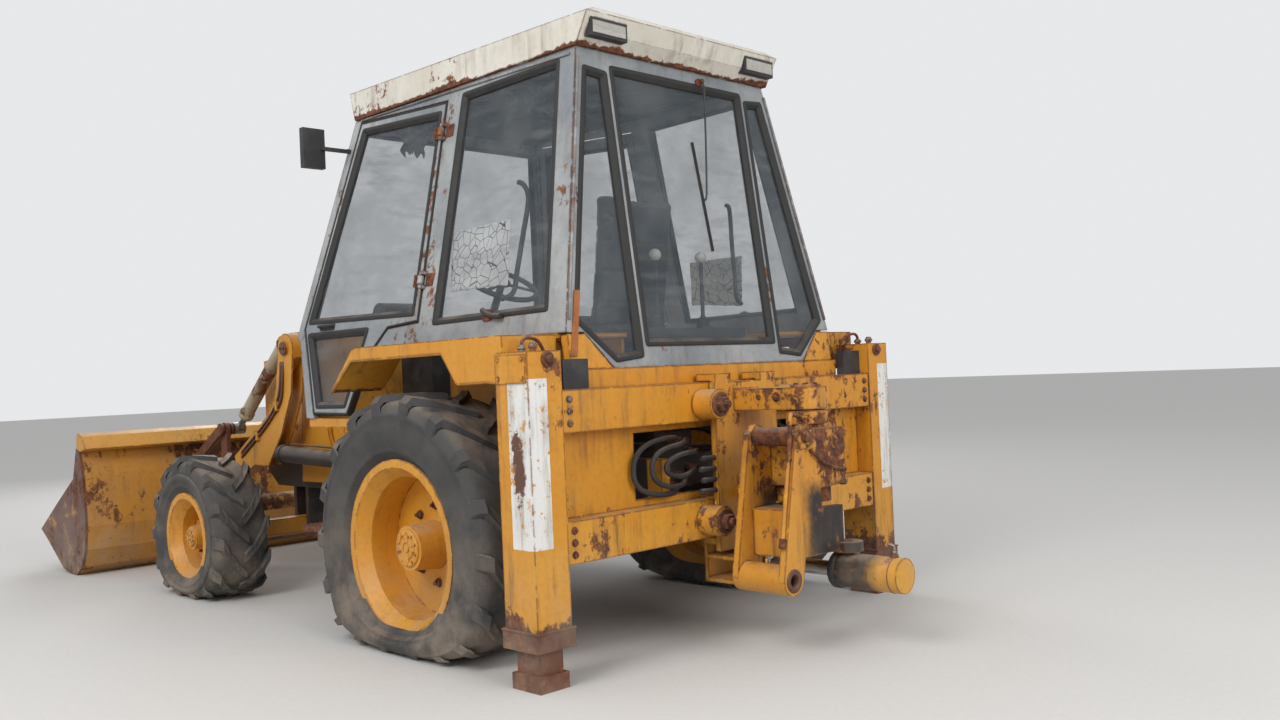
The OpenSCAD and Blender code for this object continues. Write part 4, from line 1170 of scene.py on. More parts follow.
HOSE_ROUTES: dict[str, list[Point]] = {
    "hose_1": [(-0.8203, 0.3, 0.86), (-0.829, 0.3, 0.86), (-0.838, 0.3, 0.86), (-0.856, 0.304, 0.861),
               (-0.885, 0.345, 0.868), (-0.9, 0.41, 0.868), (-0.9, 0.48, 0.86), (-0.898, 0.54, 0.838),
               (-0.896, 0.58, 0.8), (-0.895, 0.592, 0.755), (-0.895, 0.585, 0.71), (-0.896, 0.55, 0.672),
               (-0.9, 0.49, 0.65), (-0.9, 0.42, 0.642), (-0.89, 0.35, 0.645), (-0.86, 0.307, 0.662),
               (-0.838, 0.3, 0.666), (-0.829, 0.3, 0.666), (-0.8203, 0.3, 0.666)],
    "hose_2": [(-0.8203, 0.24, 0.85), (-0.829, 0.24, 0.85), (-0.838, 0.24, 0.85), (-0.856, 0.247, 0.85),
               (-0.89, 0.29, 0.845), (-0.922, 0.35, 0.84), (-0.925, 0.42, 0.832), (-0.922, 0.475, 0.812),
               (-0.92, 0.505, 0.78), (-0.92, 0.51, 0.745), (-0.92, 0.495, 0.71), (-0.922, 0.455, 0.685),
               (-0.925, 0.4, 0.672), (-0.915, 0.34, 0.672), (-0.885, 0.285, 0.685), (-0.854, 0.248, 0.698),
               (-0.838, 0.24, 0.7), (-0.829, 0.24, 0.7), (-0.8203, 0.24, 0.7)],
    "hose_3": [(-0.8203, 0.18, 0.8), (-0.829, 0.18, 0.8), (-0.838, 0.18, 0.8), (-0.856, 0.187, 0.8),
               (-0.89, 0.225, 0.8), (-0.918, 0.29, 0.802), (-0.922, 0.35, 0.796), (-0.92, 0.4, 0.78),
               (-0.918, 0.425, 0.755), (-0.919, 0.415, 0.728), (-0.922, 0.37, 0.712), (-0.915, 0.31, 0.71),
               (-0.89, 0.245, 0.72), (-0.854, 0.187, 0.73), (-0.838, 0.18, 0.73), (-0.829, 0.18, 0.73),
               (-0.8203, 0.18, 0.73)],
}


@dataclass
class BackHoses:
    """The three hoses looped in the window of the back frame, with their crimped ends."""

    radius: float = 0.011
    crimp_r: float = 0.0135
    crimp_l: float = 0.045
    steps: int = 8

    def crimp(self, name: str, mouth: Point, inner: Point) -> bpy.types.Object:
        """Make a hose's crimped end.

        Args:
            name: The piece's name.
            mouth: Where the hose meets its socket.
            inner: A point further along the hose.

        Returns:
            The piece.
        """
        way = (Vector(inner) - Vector(mouth)).normalized()
        r, l = self.crimp_r, self.crimp_l
        profile = [(self.radius * 0.7, 0.0), (r * 1.25, 0.0), (r * 1.25, 0.014), (r, 0.016), (r, l * 0.5),
                   (r * 0.93, l * 0.54), (r, l * 0.58), (r, l - 0.004), (r * 0.9, l), (self.radius * 0.7, l)]
        points, faces = turned(profile, mouth, way, 20)
        return finish_piece(name, mesh_of(name, points, faces, True), Finish.BOLT, slot="rubber_black")

    def build(self) -> None:
        for name, route in HOSE_ROUTES.items():
            spots = [at(*p) for p in route]
            path = smooth_path(spots, self.steps)
            points, faces = tube(path, self.radius, 16)
            hose = finish_piece(name + "_skin", mesh_of(name + "_skin", points, faces, True), Finish.HOSE)
            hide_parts(name)
            ends = [self.crimp(f"{name}_crimp_{i}", spots[a], spots[b])
                    for i, (a, b) in enumerate(((0, 2), (-1, -3)))]
            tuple(spots[0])


NODE_FINISHES: dict[Finish, str] = {
    Finish.CHASSIS: "main_frame rear_axle tanks",
    Finish.BODY: "front_axle bonnet loader_towers fenders cab_base knuckle_left knuckle_right",
    Finish.RUSTY: "engine steps tie_rod tilt_levers tilt_links ram_pin stabiliser_left stabiliser_right",
    Finish.BLACK: "grille roof_lamps seat_base steering_wheel console air_cleaner rear_lamps side_mirror",
    Finish.HOUSING: "back_frame",
    Finish.KINGPOST: "kingpost",
    Finish.ARMS: "loader_arms carriage",
    Finish.BUCKET: "bucket",
    Finish.CAB: "cab_frame door_left door_right",
    Finish.WINDOW: "cab_glass door_glass_left door_glass_right",
    Finish.ROOF: "roof",
    Finish.SEAT: "seat",
    Finish.RIM: "rim_rear_left rim_rear_right rim_front_left rim_front_right",
    Finish.TYRE: "tyre_rear_left tyre_rear_right tyre_front_left tyre_front_right",
    Finish.RAM: "lift_barrels",
    Finish.TILT: "tilt_barrels",
    Finish.SLEW: "slew_barrel",
    Finish.ROD: "lift_rods tilt_rods slew_rod",
    Finish.HOSE: "hose_1 hose_2 hose_3",
}


def coat_nodes(nodes: dict[str, bpy.types.Object]) -> None:
    """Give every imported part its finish.

    Args:
        nodes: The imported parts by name.
    """
    finish_of = {name: finish for finish, names in NODE_FINISHES.items() for name in names.split()}
    for name, part in nodes.items():
        material = finish_of[name].material()
        if not part.material_slots:
            part.data.materials.append(material)
        for slot in part.material_slots:
            slot.material = material
        LOG.info("%s: %s", name, material.name)


# Wheels


@dataclass
class Wheel:
    """A wheel on a flat tyre: the tyre with its lugs, the hub cap and the nuts."""

    name: str
    body: str
    side: Side
    axle: Point
    flange_y: float
    rim_w: float
    flange_r: float
    tyre_w: float
    tread_r: float
    lug_h: float
    lugs: int
    disc_y: float
    hub_r: float
    hub_out: float
    nuts: int
    nut_circle: float
    nut_r: float = 0.017
    steps: int = 120
    fold: float = 0.155
    knee_h: float = 0.070
    bulge_h: float = 0.220

    @property
    def cap_r(self) -> float:
        """The hub cap's radius, inside the hub's rim."""
        return self.hub_r - 0.0265

    @property
    def middle(self) -> float:
        """The distance of the rim's middle plane from the machine's."""
        return self.flange_y - self.rim_w / 2

    def place(self, out: float, radius: float, angle: float) -> Vector:
        """Turn wheel measures into a place.

        Args:
            out: The distance outwards from the middle plane.
            radius: The distance from the axle.
            angle: The angle round it, from forward, upwards.

        Returns:
            The place.
        """
        return Vector((self.axle[0] + radius * math.cos(angle), self.side.value * (self.middle + out),
                       self.axle[2] + radius * math.sin(angle)))

    def settle(self, spot: Vector) -> Vector:
        """Fold the tyre's foot flat on the ground, with its walls swollen.

        Args:
            spot: A point of the round tyre.

        Returns:
            Its place on the flat tyre.
        """
        knee = self.axle[2] - self.flange_r + self.knee_h
        deep = self.axle[2] - self.tread_r - self.lug_h
        top = knee + self.bulge_h
        if spot.z >= top:
            return spot
        middle = self.side.value * self.middle
        share = min(1.0, max(0.0, (top - spot.z) / (top - deep)))
        swell = math.sin(math.pi * min(1.0, share * 1.05)) ** 1.5
        near = max(0.0, 1.0 - abs(spot.x - self.axle[0]) / (self.tread_r * 0.86)) ** 0.5
        spot = spot.copy()
        spot.y = middle + (spot.y - middle) * (1 + self.fold * swell * near)
        if spot.z < knee:
            spot.z = knee * max(0.0, (spot.z - deep) / (knee - deep)) ** 1.5 if deep < 0 else spot.z
        return spot

    def carcass(self) -> Shape:
        """Make the tyre's body with its folded foot."""
        fr, tr, half, inner = self.flange_r, self.tread_r, self.tyre_w / 2, self.rim_w / 2 - 0.012
        wall = [(fr - 0.025, inner), (fr + 0.006, inner + 0.001), (fr + 0.016, inner + 0.010),
                (fr + 0.030, half - 0.016), (fr + 0.034, half - 0.010), (fr + 0.042, half - 0.012),
                (fr + 0.065, half - 0.005), (fr + (tr - fr) * 0.42, half),
                (fr + (tr - fr) * 0.6, half - 0.002), (tr - 0.072, half - 0.007), (tr - 0.064, half - 0.003),
                (tr - 0.056, half - 0.010), (tr - 0.024, half - 0.022), (tr - 0.006, half - 0.045),
                (tr, half - 0.075), (tr + 0.003, half * 0.35)]
        profile = [(r, -y) for r, y in wall] + [(r, y) for r, y in reversed(wall)]
        points = [tuple(self.settle(self.place(y, r, math.tau * k / self.steps)))
                  for k in range(self.steps) for r, y in profile]
        return points, grid_faces(self.steps, len(profile))

    def lug(self, angle: float, hand: int) -> Shape:
        """Make one slanting lug that wraps over the shoulder.

        Args:
            angle: Where its shoulder end stands.
            hand: 1 for the outer half of the tread, -1 for the inner.

        Returns:
            The points and faces.
        """
        half, tr, h = self.tyre_w / 2, self.tread_r, self.lug_h
        run = 0.95 * math.tau / self.lugs
        rows = [(half - 0.010, tr - 0.060, 0.0, 0.026, 0.0), (half - 0.014, tr - 0.018, 0.0, 0.026, 0.55),
                (half - 0.030, tr, 0.04, 0.027, 0.95), (half * 0.62, tr, 0.36, 0.024, 1.0),
                (half * 0.3, tr, 0.72, 0.022, 1.0), (-half * 0.06, tr, 1.0, 0.020, 1.0)]
        points: list[Point] = []
        for y, r, t, wide, rise in rows:
            for top in (0, 1):
                for s in (-1, 1):
                    reach = r - 0.006 + (h * rise + 0.006) * top
                    grow = wide * (1.0 if top else 1.35)
                    out = y + (0.006 * top if rise < 0.9 else 0)
                    points.append(tuple(self.settle(self.place(hand * out, reach,
                                                               angle + run * t + s * grow / r))))
        faces = [(0, 1, 3, 2)]
        for k in range(len(rows) - 1):
            a, b = 4 * k, 4 * k + 4
            faces += [(a, a + 2, b + 2, b), (a + 2, a + 3, b + 3, b + 2), (a + 3, a + 1, b + 1, b + 3),
                      (a + 1, a, b, b + 1)]
        last = 4 * (len(rows) - 1)
        faces.append((last, last + 2, last + 3, last + 1))
        return points, faces

    def tyre(self) -> None:
        """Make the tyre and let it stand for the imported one."""
        shapes = [self.carcass()]
        for k in range(self.lugs):
            for hand, shift in ((1, 0.0), (-1, 0.5)):
                shapes.append(self.lug(math.tau * (k + shift) / self.lugs, hand))
        points, faces = merged(*shapes)
        mesh = mesh_of(self.name + "_tread", points, faces)
        for face in mesh.polygons:
            face.use_smooth = face.index < len(shapes[0][1])
        tyre = finish_piece(self.name + "_tread", mesh, Finish.TYRE, self.body)
        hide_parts("tyre_" + self.name)

    def cap(self) -> None:
        """Make the ribbed cap on the hub's face."""
        way = Vector((0, self.side.value, 0))
        face = self.place(self.hub_out, 0, 0)
        r = self.cap_r
        rings = turned([(r, -0.002), (r, 0.006), (r * 0.93, 0.011), (r * 0.74, 0.011), (r * 0.72, 0.005),
                        (r * 0.55, 0.004), (r * 0.53, 0.010), (r * 0.36, 0.012), (r * 0.34, 0.006),
                        (r * 0.2, 0.006), (r * 0.18, 0.014), (0.0, 0.015)], face, way, 48)
        name = self.name + "_hub_cap"
        piece = finish_piece(name, mesh_of(name, *rings), Finish.RIM, self.body)
        bevelled(piece, 0.0015)
        arms = block((-0.012, 0.004, r * 0.34), (0.012, 0.0125, r * 0.75))
        bar = mesh_of("bar", *arms)
        bars = Repeats.mesh(self.name + "_hub_bars", bar, 4, Finish.RIM, face, (0, math.pi / 2, 0))
        if self.side is Side.RIGHT:
            bars.transform(Matrix.Translation(face) @ Matrix.Rotation(math.pi, 4, "Z")
                           @ Matrix.Translation(-face))
        finish_piece(self.name + "_hub_bars", bars, Finish.RIM, self.body)

    def bolts(self) -> None:
        """Make the wheel nuts and the cap's small bolts."""
        for label, count, circle, radius, out in (
                ("nuts", self.nuts, self.nut_circle, self.nut_r, self.disc_y + 0.006),
                ("cap_bolts", 10, self.cap_r * 0.84, 0.006, self.hub_out + 0.0105)):
            head = bolt_head(Axis.Y, radius, radius * 0.95)
            if label == "nuts":
                stud = mesh_of("stud", *turned([(0, 0), (radius * 0.5, 0), (radius * 0.5, radius * 1.7),
                                                (0, radius * 1.7)], (0, 0, 0), Vector((0, 1, 0)), 10))
                head = joined(head, stud)
            if self.side is Side.RIGHT:
                head.transform(Matrix.Rotation(math.pi, 4, "Z"))
            head.transform(Matrix.Translation((0, 0, circle)))
            name = f"{self.name}_{label}"
            finish = Finish.BOLT if label == "nuts" else Finish.RIM
            mesh = Repeats.mesh(name, head, count, finish, tuple(self.place(out, 0, 0)),
                                (0, math.tau / count, 0))
            finish_piece(name, mesh, finish, self.body, slot="rim_paint")

    def build(self) -> None:
        """Make everything on this wheel."""
        self.tyre()
        self.cap()
        self.bolts()


def all_wheels() -> list[Wheel]:
    """List the four wheels."""
    wheels = []
    for side in Side:
        wheels.append(Wheel(f"rear_{side.word}", f"wheel_rear_{side.word}", side, at(0, 0, 0.441),
                            flange_y=1.114, rim_w=0.370, flange_r=0.381, tyre_w=0.430, tread_r=0.630,
                            lug_h=0.028, lugs=18, disc_y=-0.020, hub_r=0.105, hub_out=0.135,
                            nuts=8, nut_circle=0.168))
        wheels.append(Wheel(f"front_{side.word}", f"wheel_front_{side.word}", side, at(2.17, 0, 0.328),
                            flange_y=1.087, rim_w=0.280, flange_r=0.254, tyre_w=0.320, tread_r=0.430,
                            lug_h=0.028, lugs=14, disc_y=0.0, hub_r=0.075, hub_out=0.105,
                            nuts=8, nut_circle=0.128, nut_r=0.012))
    return wheels


# The cab's faces and its trim


@dataclass(frozen=True)
class Face:
    """A leaning face of the cab, with its zero point at a known height."""

    origin: Point
    side: Point
    lean: float

    @property
    def out(self) -> Vector:
        """The direction that the face looks in."""
        flat = Vector(self.side).cross(UP)
        return flat * math.cos(math.radians(self.lean)) + UP * math.sin(math.radians(self.lean))

    @property
    def up(self) -> Vector:
        """The direction up the face."""
        flat = Vector(self.side).cross(UP)
        return UP * math.cos(math.radians(self.lean)) - flat * math.sin(math.radians(self.lean))

    def flat(self, points: list[tuple[float, float]]) -> list[tuple[float, float]]:
        """Turn sideways measures with heights above the ground into lengths on the face."""
        cos = math.cos(math.radians(self.lean))
        return [(u, (z - self.origin[2]) / cos) for u, z in points]

    def place(self, u: float, s: float, h: float) -> Point:
        """Give the place at u sideways, s up the face and h out of it."""
        return tuple(Vector(self.origin) + Vector(self.side) * u + self.up * s + self.out * h)

    def spot(self, u: float, z: float, h: float) -> Point:
        """Give the place at u sideways and a height above the ground, h out of the face."""
        return self.place(u, self.flat([(u, z)])[0][1], h)


SIDE_LEAN = 11.94


def side_face(side: Side) -> Face:
    """Return the cab's left or right face, with u forward from the rear axle."""
    x = (-1.0, 0.0, 0.0) if side is Side.LEFT else (1.0, 0.0, 0.0)
    return Face(at(0, 0.613 * side.value, 2.464), x, SIDE_LEAN)


REAR_FACE = Face(at(-0.685, 0, 2.430), (0.0, -1.0, 0.0), 7.2)
FRONT_FACE = Face(at(1.022, 0, 2.510), (0.0, 1.0, 0.0), 13.66)

SIDE_PANE = [(0.075, 2.443), (-0.574, 2.452), (-0.690, 1.412), (0.070, 1.403)]
REAR_PANE = [(-0.415, 1.262), (0.415, 1.262), (0.415, 2.430), (-0.415, 2.430)]
QUARTER_PANE = [(0.571, 2.410), (0.794, 1.361), (0.602, 1.200), (0.460, 1.215), (0.460, 2.400)]
FRONT_PANE = [(-0.760, 1.460), (0.760, 1.460), (0.560, 2.450), (-0.560, 2.450)]
DOOR_PANE = [(0.250, 2.390), (0.925, 2.430), (1.175, 1.470), (0.250, 1.455)]
DOOR_LOW_PANE = [(0.620, 1.400), (1.165, 1.400), (0.980, 1.045), (0.725, 1.045)]
DOOR_EDGE = [(0.205, 2.440), (0.962, 2.480), (1.222, 1.436), (1.005, 1.006), (0.691, 1.001), (0.600, 1.250),
             (0.440, 1.400), (0.199, 1.415)]


def rounded_loop(points: list[tuple[float, float]], radius: float,
                 steps: int = 5) -> list[tuple[float, float]]:
    """Round the corners of a closed outline.

    Args:
        points: The outline.
        radius: The corners' radius, cut down where a side is short.
        steps: Steps in a corner.

    Returns:
        The outline, anticlockwise.
    """
    area = sum(a[0] * b[1] - b[0] * a[1] for a, b in zip(points, points[1:] + points[:1]))
    spots = [Vector(p) for p in (points if area > 0 else points[::-1])]
    loop: list[tuple[float, float]] = []
    for i, here in enumerate(spots):
        back, on = spots[i - 1] - here, spots[(i + 1) % len(spots)] - here
        cut = min(radius / math.tan(back.angle(on) / 2), 0.45 * back.length, 0.45 * on.length)
        start, end = here + back.normalized() * cut, here + on.normalized() * cut
        for k in range(steps + 1):
            t = k / steps
            loop.append(tuple(start * (1 - t) ** 2 + here * 2 * t * (1 - t) + end * t * t))
    return loop


def moulding(face: Face, loop: list[tuple[float, float]], section: list[tuple[float, float]]) -> Shape:
    """Run a section round a closed outline on a face.

    Args:
        face: The face.
        loop: The outline on it, anticlockwise.
        section: Points of distance outside the outline and height out of the face, a closed ring.

    Returns:
        The points and faces.
    """
    count = len(loop)
    points: list[Point] = []
    for i, here in enumerate(loop):
        a, b, c = Vector(loop[i - 1]), Vector(here), Vector(loop[(i + 1) % count])
        first, second = (b - a).normalized(), (c - b).normalized()
        way = Vector((first.y + second.y, -first.x - second.x)) / (1 + first.dot(second))
        points += [face.place(b.x + way.x * d, b.y + way.y * d, h) for d, h in section]
    return points, grid_faces(count, len(section))


def oblong(low: float, high: float, foot: float, top: float) -> list[tuple[float, float]]:
    """List a rectangle's corners, anticlockwise."""
    return [(low, foot), (high, foot), (high, top), (low, top)]


def plate(face: Face, loop: list[tuple[float, float]], low: float, high: float) -> Shape:
    """Make a flat plate on a face.

    Args:
        face: The face.
        loop: The plate's outline.
        low: The height of its back out of the face.
        high: The height of its front.

    Returns:
        The points and faces.
    """
    count = len(loop)
    points = [face.place(u, s, h) for h in (low, high) for u, s in loop]
    faces = [tuple(range(count)), tuple(range(count, 2 * count))]
    faces += [(i, (i + 1) % count, count + (i + 1) % count, count + i) for i in range(count)]
    return points, faces


def make(name: str, shape: Shape, finish: Finish, body: str = "chassis", bevel: float = 0.0,
         smooth: bool = False, slot: str = "") -> bpy.types.Object:
    """Make a piece from points and faces.

    Args:
        name: The piece's name.
        shape: Its points and faces.
        finish: Its finish.
        body: The body that it rides on.
        bevel: How far its edges are rounded.
        smooth: Shade it smoothly.
        slot: The record's material slot, where it isn't the finish's own.

    Returns:
        The piece.
    """
    piece = finish_piece(name, mesh_of(name, *shape, smooth), finish, body, slot)
    return bevelled(piece, bevel) if bevel else piece


def rod(start: Point, end: Point, radius: float, sides: int = 16) -> Shape:
    """Make a round bar with closed, slightly bevelled ends.

    Args:
        start: The centre of one end.
        end: The centre of the other end.
        radius: The bar's radius.
        sides: Steps round it.

    Returns:
        The points and faces.
    """
    a, b = Vector(start), Vector(end)
    length = (b - a).length
    edge = min(radius * 0.2, length * 0.2)
    profile = [(0, 0), (radius - edge, 0), (radius, edge), (radius, length - edge), (radius - edge, length),
               (0, length)]
    return turned(profile, start, b - a, sides)


@dataclass
class CabTrim:
    """Rubber round the panes, the doors' gaskets, hinge leaves, handles, wiper and gutters."""

    glass_h: float = -0.0147
    lip: float = 0.014
    cover: float = 0.020
    hinges_z: tuple[tuple[str, float], ...] = (("upper", 2.290), ("lower", 1.600))
    leaf_half: float = 0.030
    leaf_bolt: float = 0.016
    bracket_h: float = 0.050
    lock_half: float = 0.018
    spindle: tuple[float, float] = (0.135, 2.452)

    def seal(self, name: str, face: Face, pane: list[tuple[float, float]], body: str, glass_h: float) -> None:
        """Make the rubber round one pane, outside and inside.

        Args:
            name: The piece's name.
            face: The pane's face.
            pane: Its outline, with heights above the ground.
            body: The body that it rides on.
            glass_h: The height of the glass out of the face.
        """
        loop = rounded_loop(face.flat(pane), 0.004, 2)
        outer = [(self.lip, 0.0004), (self.lip, 0.003), (self.lip * 0.5, 0.0055), (-0.004, 0.0045),
                 (-self.cover, glass_h + 0.007), (-self.cover - 0.002, glass_h + 0.0003),
                 (-0.0004, glass_h + 0.0003), (-0.0004, 0.0004)]
        back = glass_h - 0.0065
        inner = [(-0.0004, back), (-0.0004, back - 0.011), (-self.cover * 0.8, back - 0.006),
                 (-self.cover, back)]
        shape = merged(moulding(face, loop, outer), moulding(face, loop, inner))
        make(name, shape, Finish.SEAL, body)

    def seals(self) -> None:
        """Make every pane's rubber."""
        for side in Side:
            word, face, s = side.word, side_face(side), -side.value
            flip = [(u * s, z) for u, z in SIDE_PANE]
            self.seal(f"seal_side_{word}", face, flip, "chassis", self.glass_h)
            for label, pane in (("upper", DOOR_PANE), ("lower", DOOR_LOW_PANE)):
                self.seal(f"seal_door_{label}_{word}", face, [(u * s, z) for u, z in pane], f"door_{word}",
                          self.glass_h + 0.001)
            self.seal(f"seal_quarter_{word}", REAR_FACE, [(u * s, z) for u, z in QUARTER_PANE], "chassis",
                      self.glass_h)
        self.seal("seal_rear", REAR_FACE, REAR_PANE, "chassis", self.glass_h)
        self.seal("seal_front", FRONT_FACE, FRONT_PANE, "chassis", self.glass_h)

    def gaskets(self) -> None:
        """Make the bulb of rubber round each door's edge."""
        section = [(0.0016, -0.030), (0.0016, -0.006), (0.0008, -0.001), (-0.0012, 0.0032), (-0.008, 0.0036),
                   (-0.010, 0.0004), (-0.0003, 0.0004), (-0.0003, -0.030)]
        for side in Side:
            word, face = side.word, side_face(side)
            loop = rounded_loop(face.flat([(-u * side.value, z) for u, z in DOOR_EDGE]), 0.0015, 1)
            make(f"door_gasket_{word}", moulding(face, loop, section), Finish.SEAL, f"door_{word}")

    def hinges(self) -> None:
        """Make the hinges' leaves with their bolts."""
        for side in Side:
            word, face, s = side.word, side_face(side), -side.value
            for label, z in self.hinges_z:
                middle = face.flat([(0, z)])[0][1]
                for part, u0, u1, body in (("door", 0.214, 0.262, f"door_{word}"),
                                           ("post", 0.120, 0.176, "chassis")):
                    low, high = sorted((u0 * s, u1 * s))
                    base = 0.0081 if part == "door" else 0.0002
                    corners = oblong(low, high, middle - self.leaf_half, middle + self.leaf_half)
                    shapes = [plate(face, rounded_loop(corners, 0.006, 2),
                                    base if part == "post" else 0.0004, base + 0.004)]
                    for v in (-self.leaf_bolt, self.leaf_bolt):
                        foot = face.place((low + high) / 2 + 0.006 * s, middle + v, base + 0.0035)
                        shapes.append(turned([(0, 0), (0.0065, 0), (0.0065, 0.003), (0.0045, 0.0055),
                                              (0, 0.006)], foot, face.out, 6))
                    make(f"hinge_{part}_{label}_{word}", merged(*shapes), Finish.RUSTY, body, bevel=0.0008)

    def catches(self) -> None:
        """Make the side windows' catches: a black grip on a rusty bracket."""
        for side in Side:
            word, face, s = side.word, side_face(side), -side.value
            line = [(-0.300, 1.428), (-0.330, 1.412), (-0.380, 1.398), (-0.430, 1.394)]
            path = smooth_path([face.spot(u * s, z, 0.022) for u, z in line], 5)
            make(f"window_grip_{word}", tube(path, 0.012, 12), Finish.BLACK, bevel=0.002, smooth=True)
            low, high = sorted((-0.345 * s, -0.290 * s))
            level = face.flat([(0, 1.384)])[0][1]
            bracket = oblong(low, high, level, level + self.bracket_h)
            pin = rod(face.spot(-0.318 * s, 1.415, 0.0), face.spot(-0.318 * s, 1.415, 0.030), 0.007)
            shape = merged(plate(face, rounded_loop(bracket, 0.008, 3), 0.0003, 0.008), pin)
            make(f"window_bracket_{word}", shape, Finish.RUSTY, bevel=0.001)

    def handles(self) -> None:
        """Make the doors' pull handles on their lock plates."""
        for side in Side:
            word, face, s = side.word, side_face(side), -side.value
            low, high = sorted((0.925 * s, 1.065 * s))
            level = face.flat([(0, 1.4355)])[0][1]
            corners = oblong(low, high, level - self.lock_half, level + self.lock_half)
            back = plate(face, rounded_loop(corners, 0.010, 3), 0.0003, 0.004)
            grip = tube(smooth_path([face.place(u * s, level, h)
                                     for u, h in ((0.940, 0.003), (0.944, 0.022), (0.962, 0.030),
                                                  (1.028, 0.030), (1.046, 0.022), (1.050, 0.003))], 4),
                        0.0075, 12)
            button = rod(face.place(1.058 * s, level, 0.003), face.place(1.058 * s, level, 0.012), 0.006, 12)
            make(f"door_handle_{word}", merged(back, grip, button), Finish.BLACK, f"door_{word}", bevel=0.001)

    def wiper(self) -> None:
        """Make the rear window's wiper, hanging from its spindle above the glass."""
        up = REAR_FACE.spot
        arm = [up(*self.spindle, 0.030), up(0.134, 2.400, 0.032), up(0.112, 2.200, 0.024),
               up(0.078, 1.930, 0.010), up(0.066, 1.905, 0.002)]
        make("wiper_arm", tube(smooth_path(arm, 4), 0.0045, 8), Finish.BLACK, smooth=True)
        spindle = merged(rod(up(*self.spindle, 0.0), up(*self.spindle, 0.034), 0.011),
                         rod(up(*self.spindle, 0.001), up(*self.spindle, 0.012), 0.019))
        make("wiper_spindle", spindle, Finish.BOLT, bevel=0.001)
        blade = [up(0.046 + 0.0039 * k, 2.166 - 0.0495 * k, -0.0088) for k in range(11)]
        spine = [tuple(Vector(p) + REAR_FACE.out * 0.0075) for p in blade]
        shape = merged(tube(blade, 0.0055, 8), tube(spine, 0.0032, 6))
        make("wiper_blade", shape, Finish.SEAL)

    def posts(self) -> None:
        """Make the drip rails over the doors and the strips up the rear corners."""
        for side in Side:
            word, s, face = side.word, side.value, side_face(side)
            rail = [face.spot(-s * x, z, 0.0055) for x, z in ((-0.650, 2.470), (0.20, 2.482), (0.955, 2.490))]
            make(f"gutter_{word}", tube(rail, 0.0055, 8), Finish.CAB, smooth=True)
            edge = [REAR_FACE.spot(-s * y, z, 0.006)
                    for y, z in ((0.606, 2.45), (0.700, 2.0), (0.790, 1.58), (0.835, 1.36))]
            make(f"corner_strip_{word}", tube(edge, 0.006, 8), Finish.CAB, smooth=True)

    def strap(self) -> None:
        """Make the flat orange strap up the left rear corner."""
        loop = REAR_FACE.flat([(-0.848, 1.215), (-0.816, 1.215), (-0.762, 1.476), (-0.790, 1.476)])
        make("corner_strap", plate(REAR_FACE, loop, 0.0004, 0.0065), Finish.STRAP, bevel=0.0015)

    def build(self) -> None:
        """Make all of the trim."""
        self.seals()
        self.gaskets()
        self.hinges()
        self.catches()
        self.handles()
        self.wiper()
        self.posts()
        self.strap()


# The cab's inside


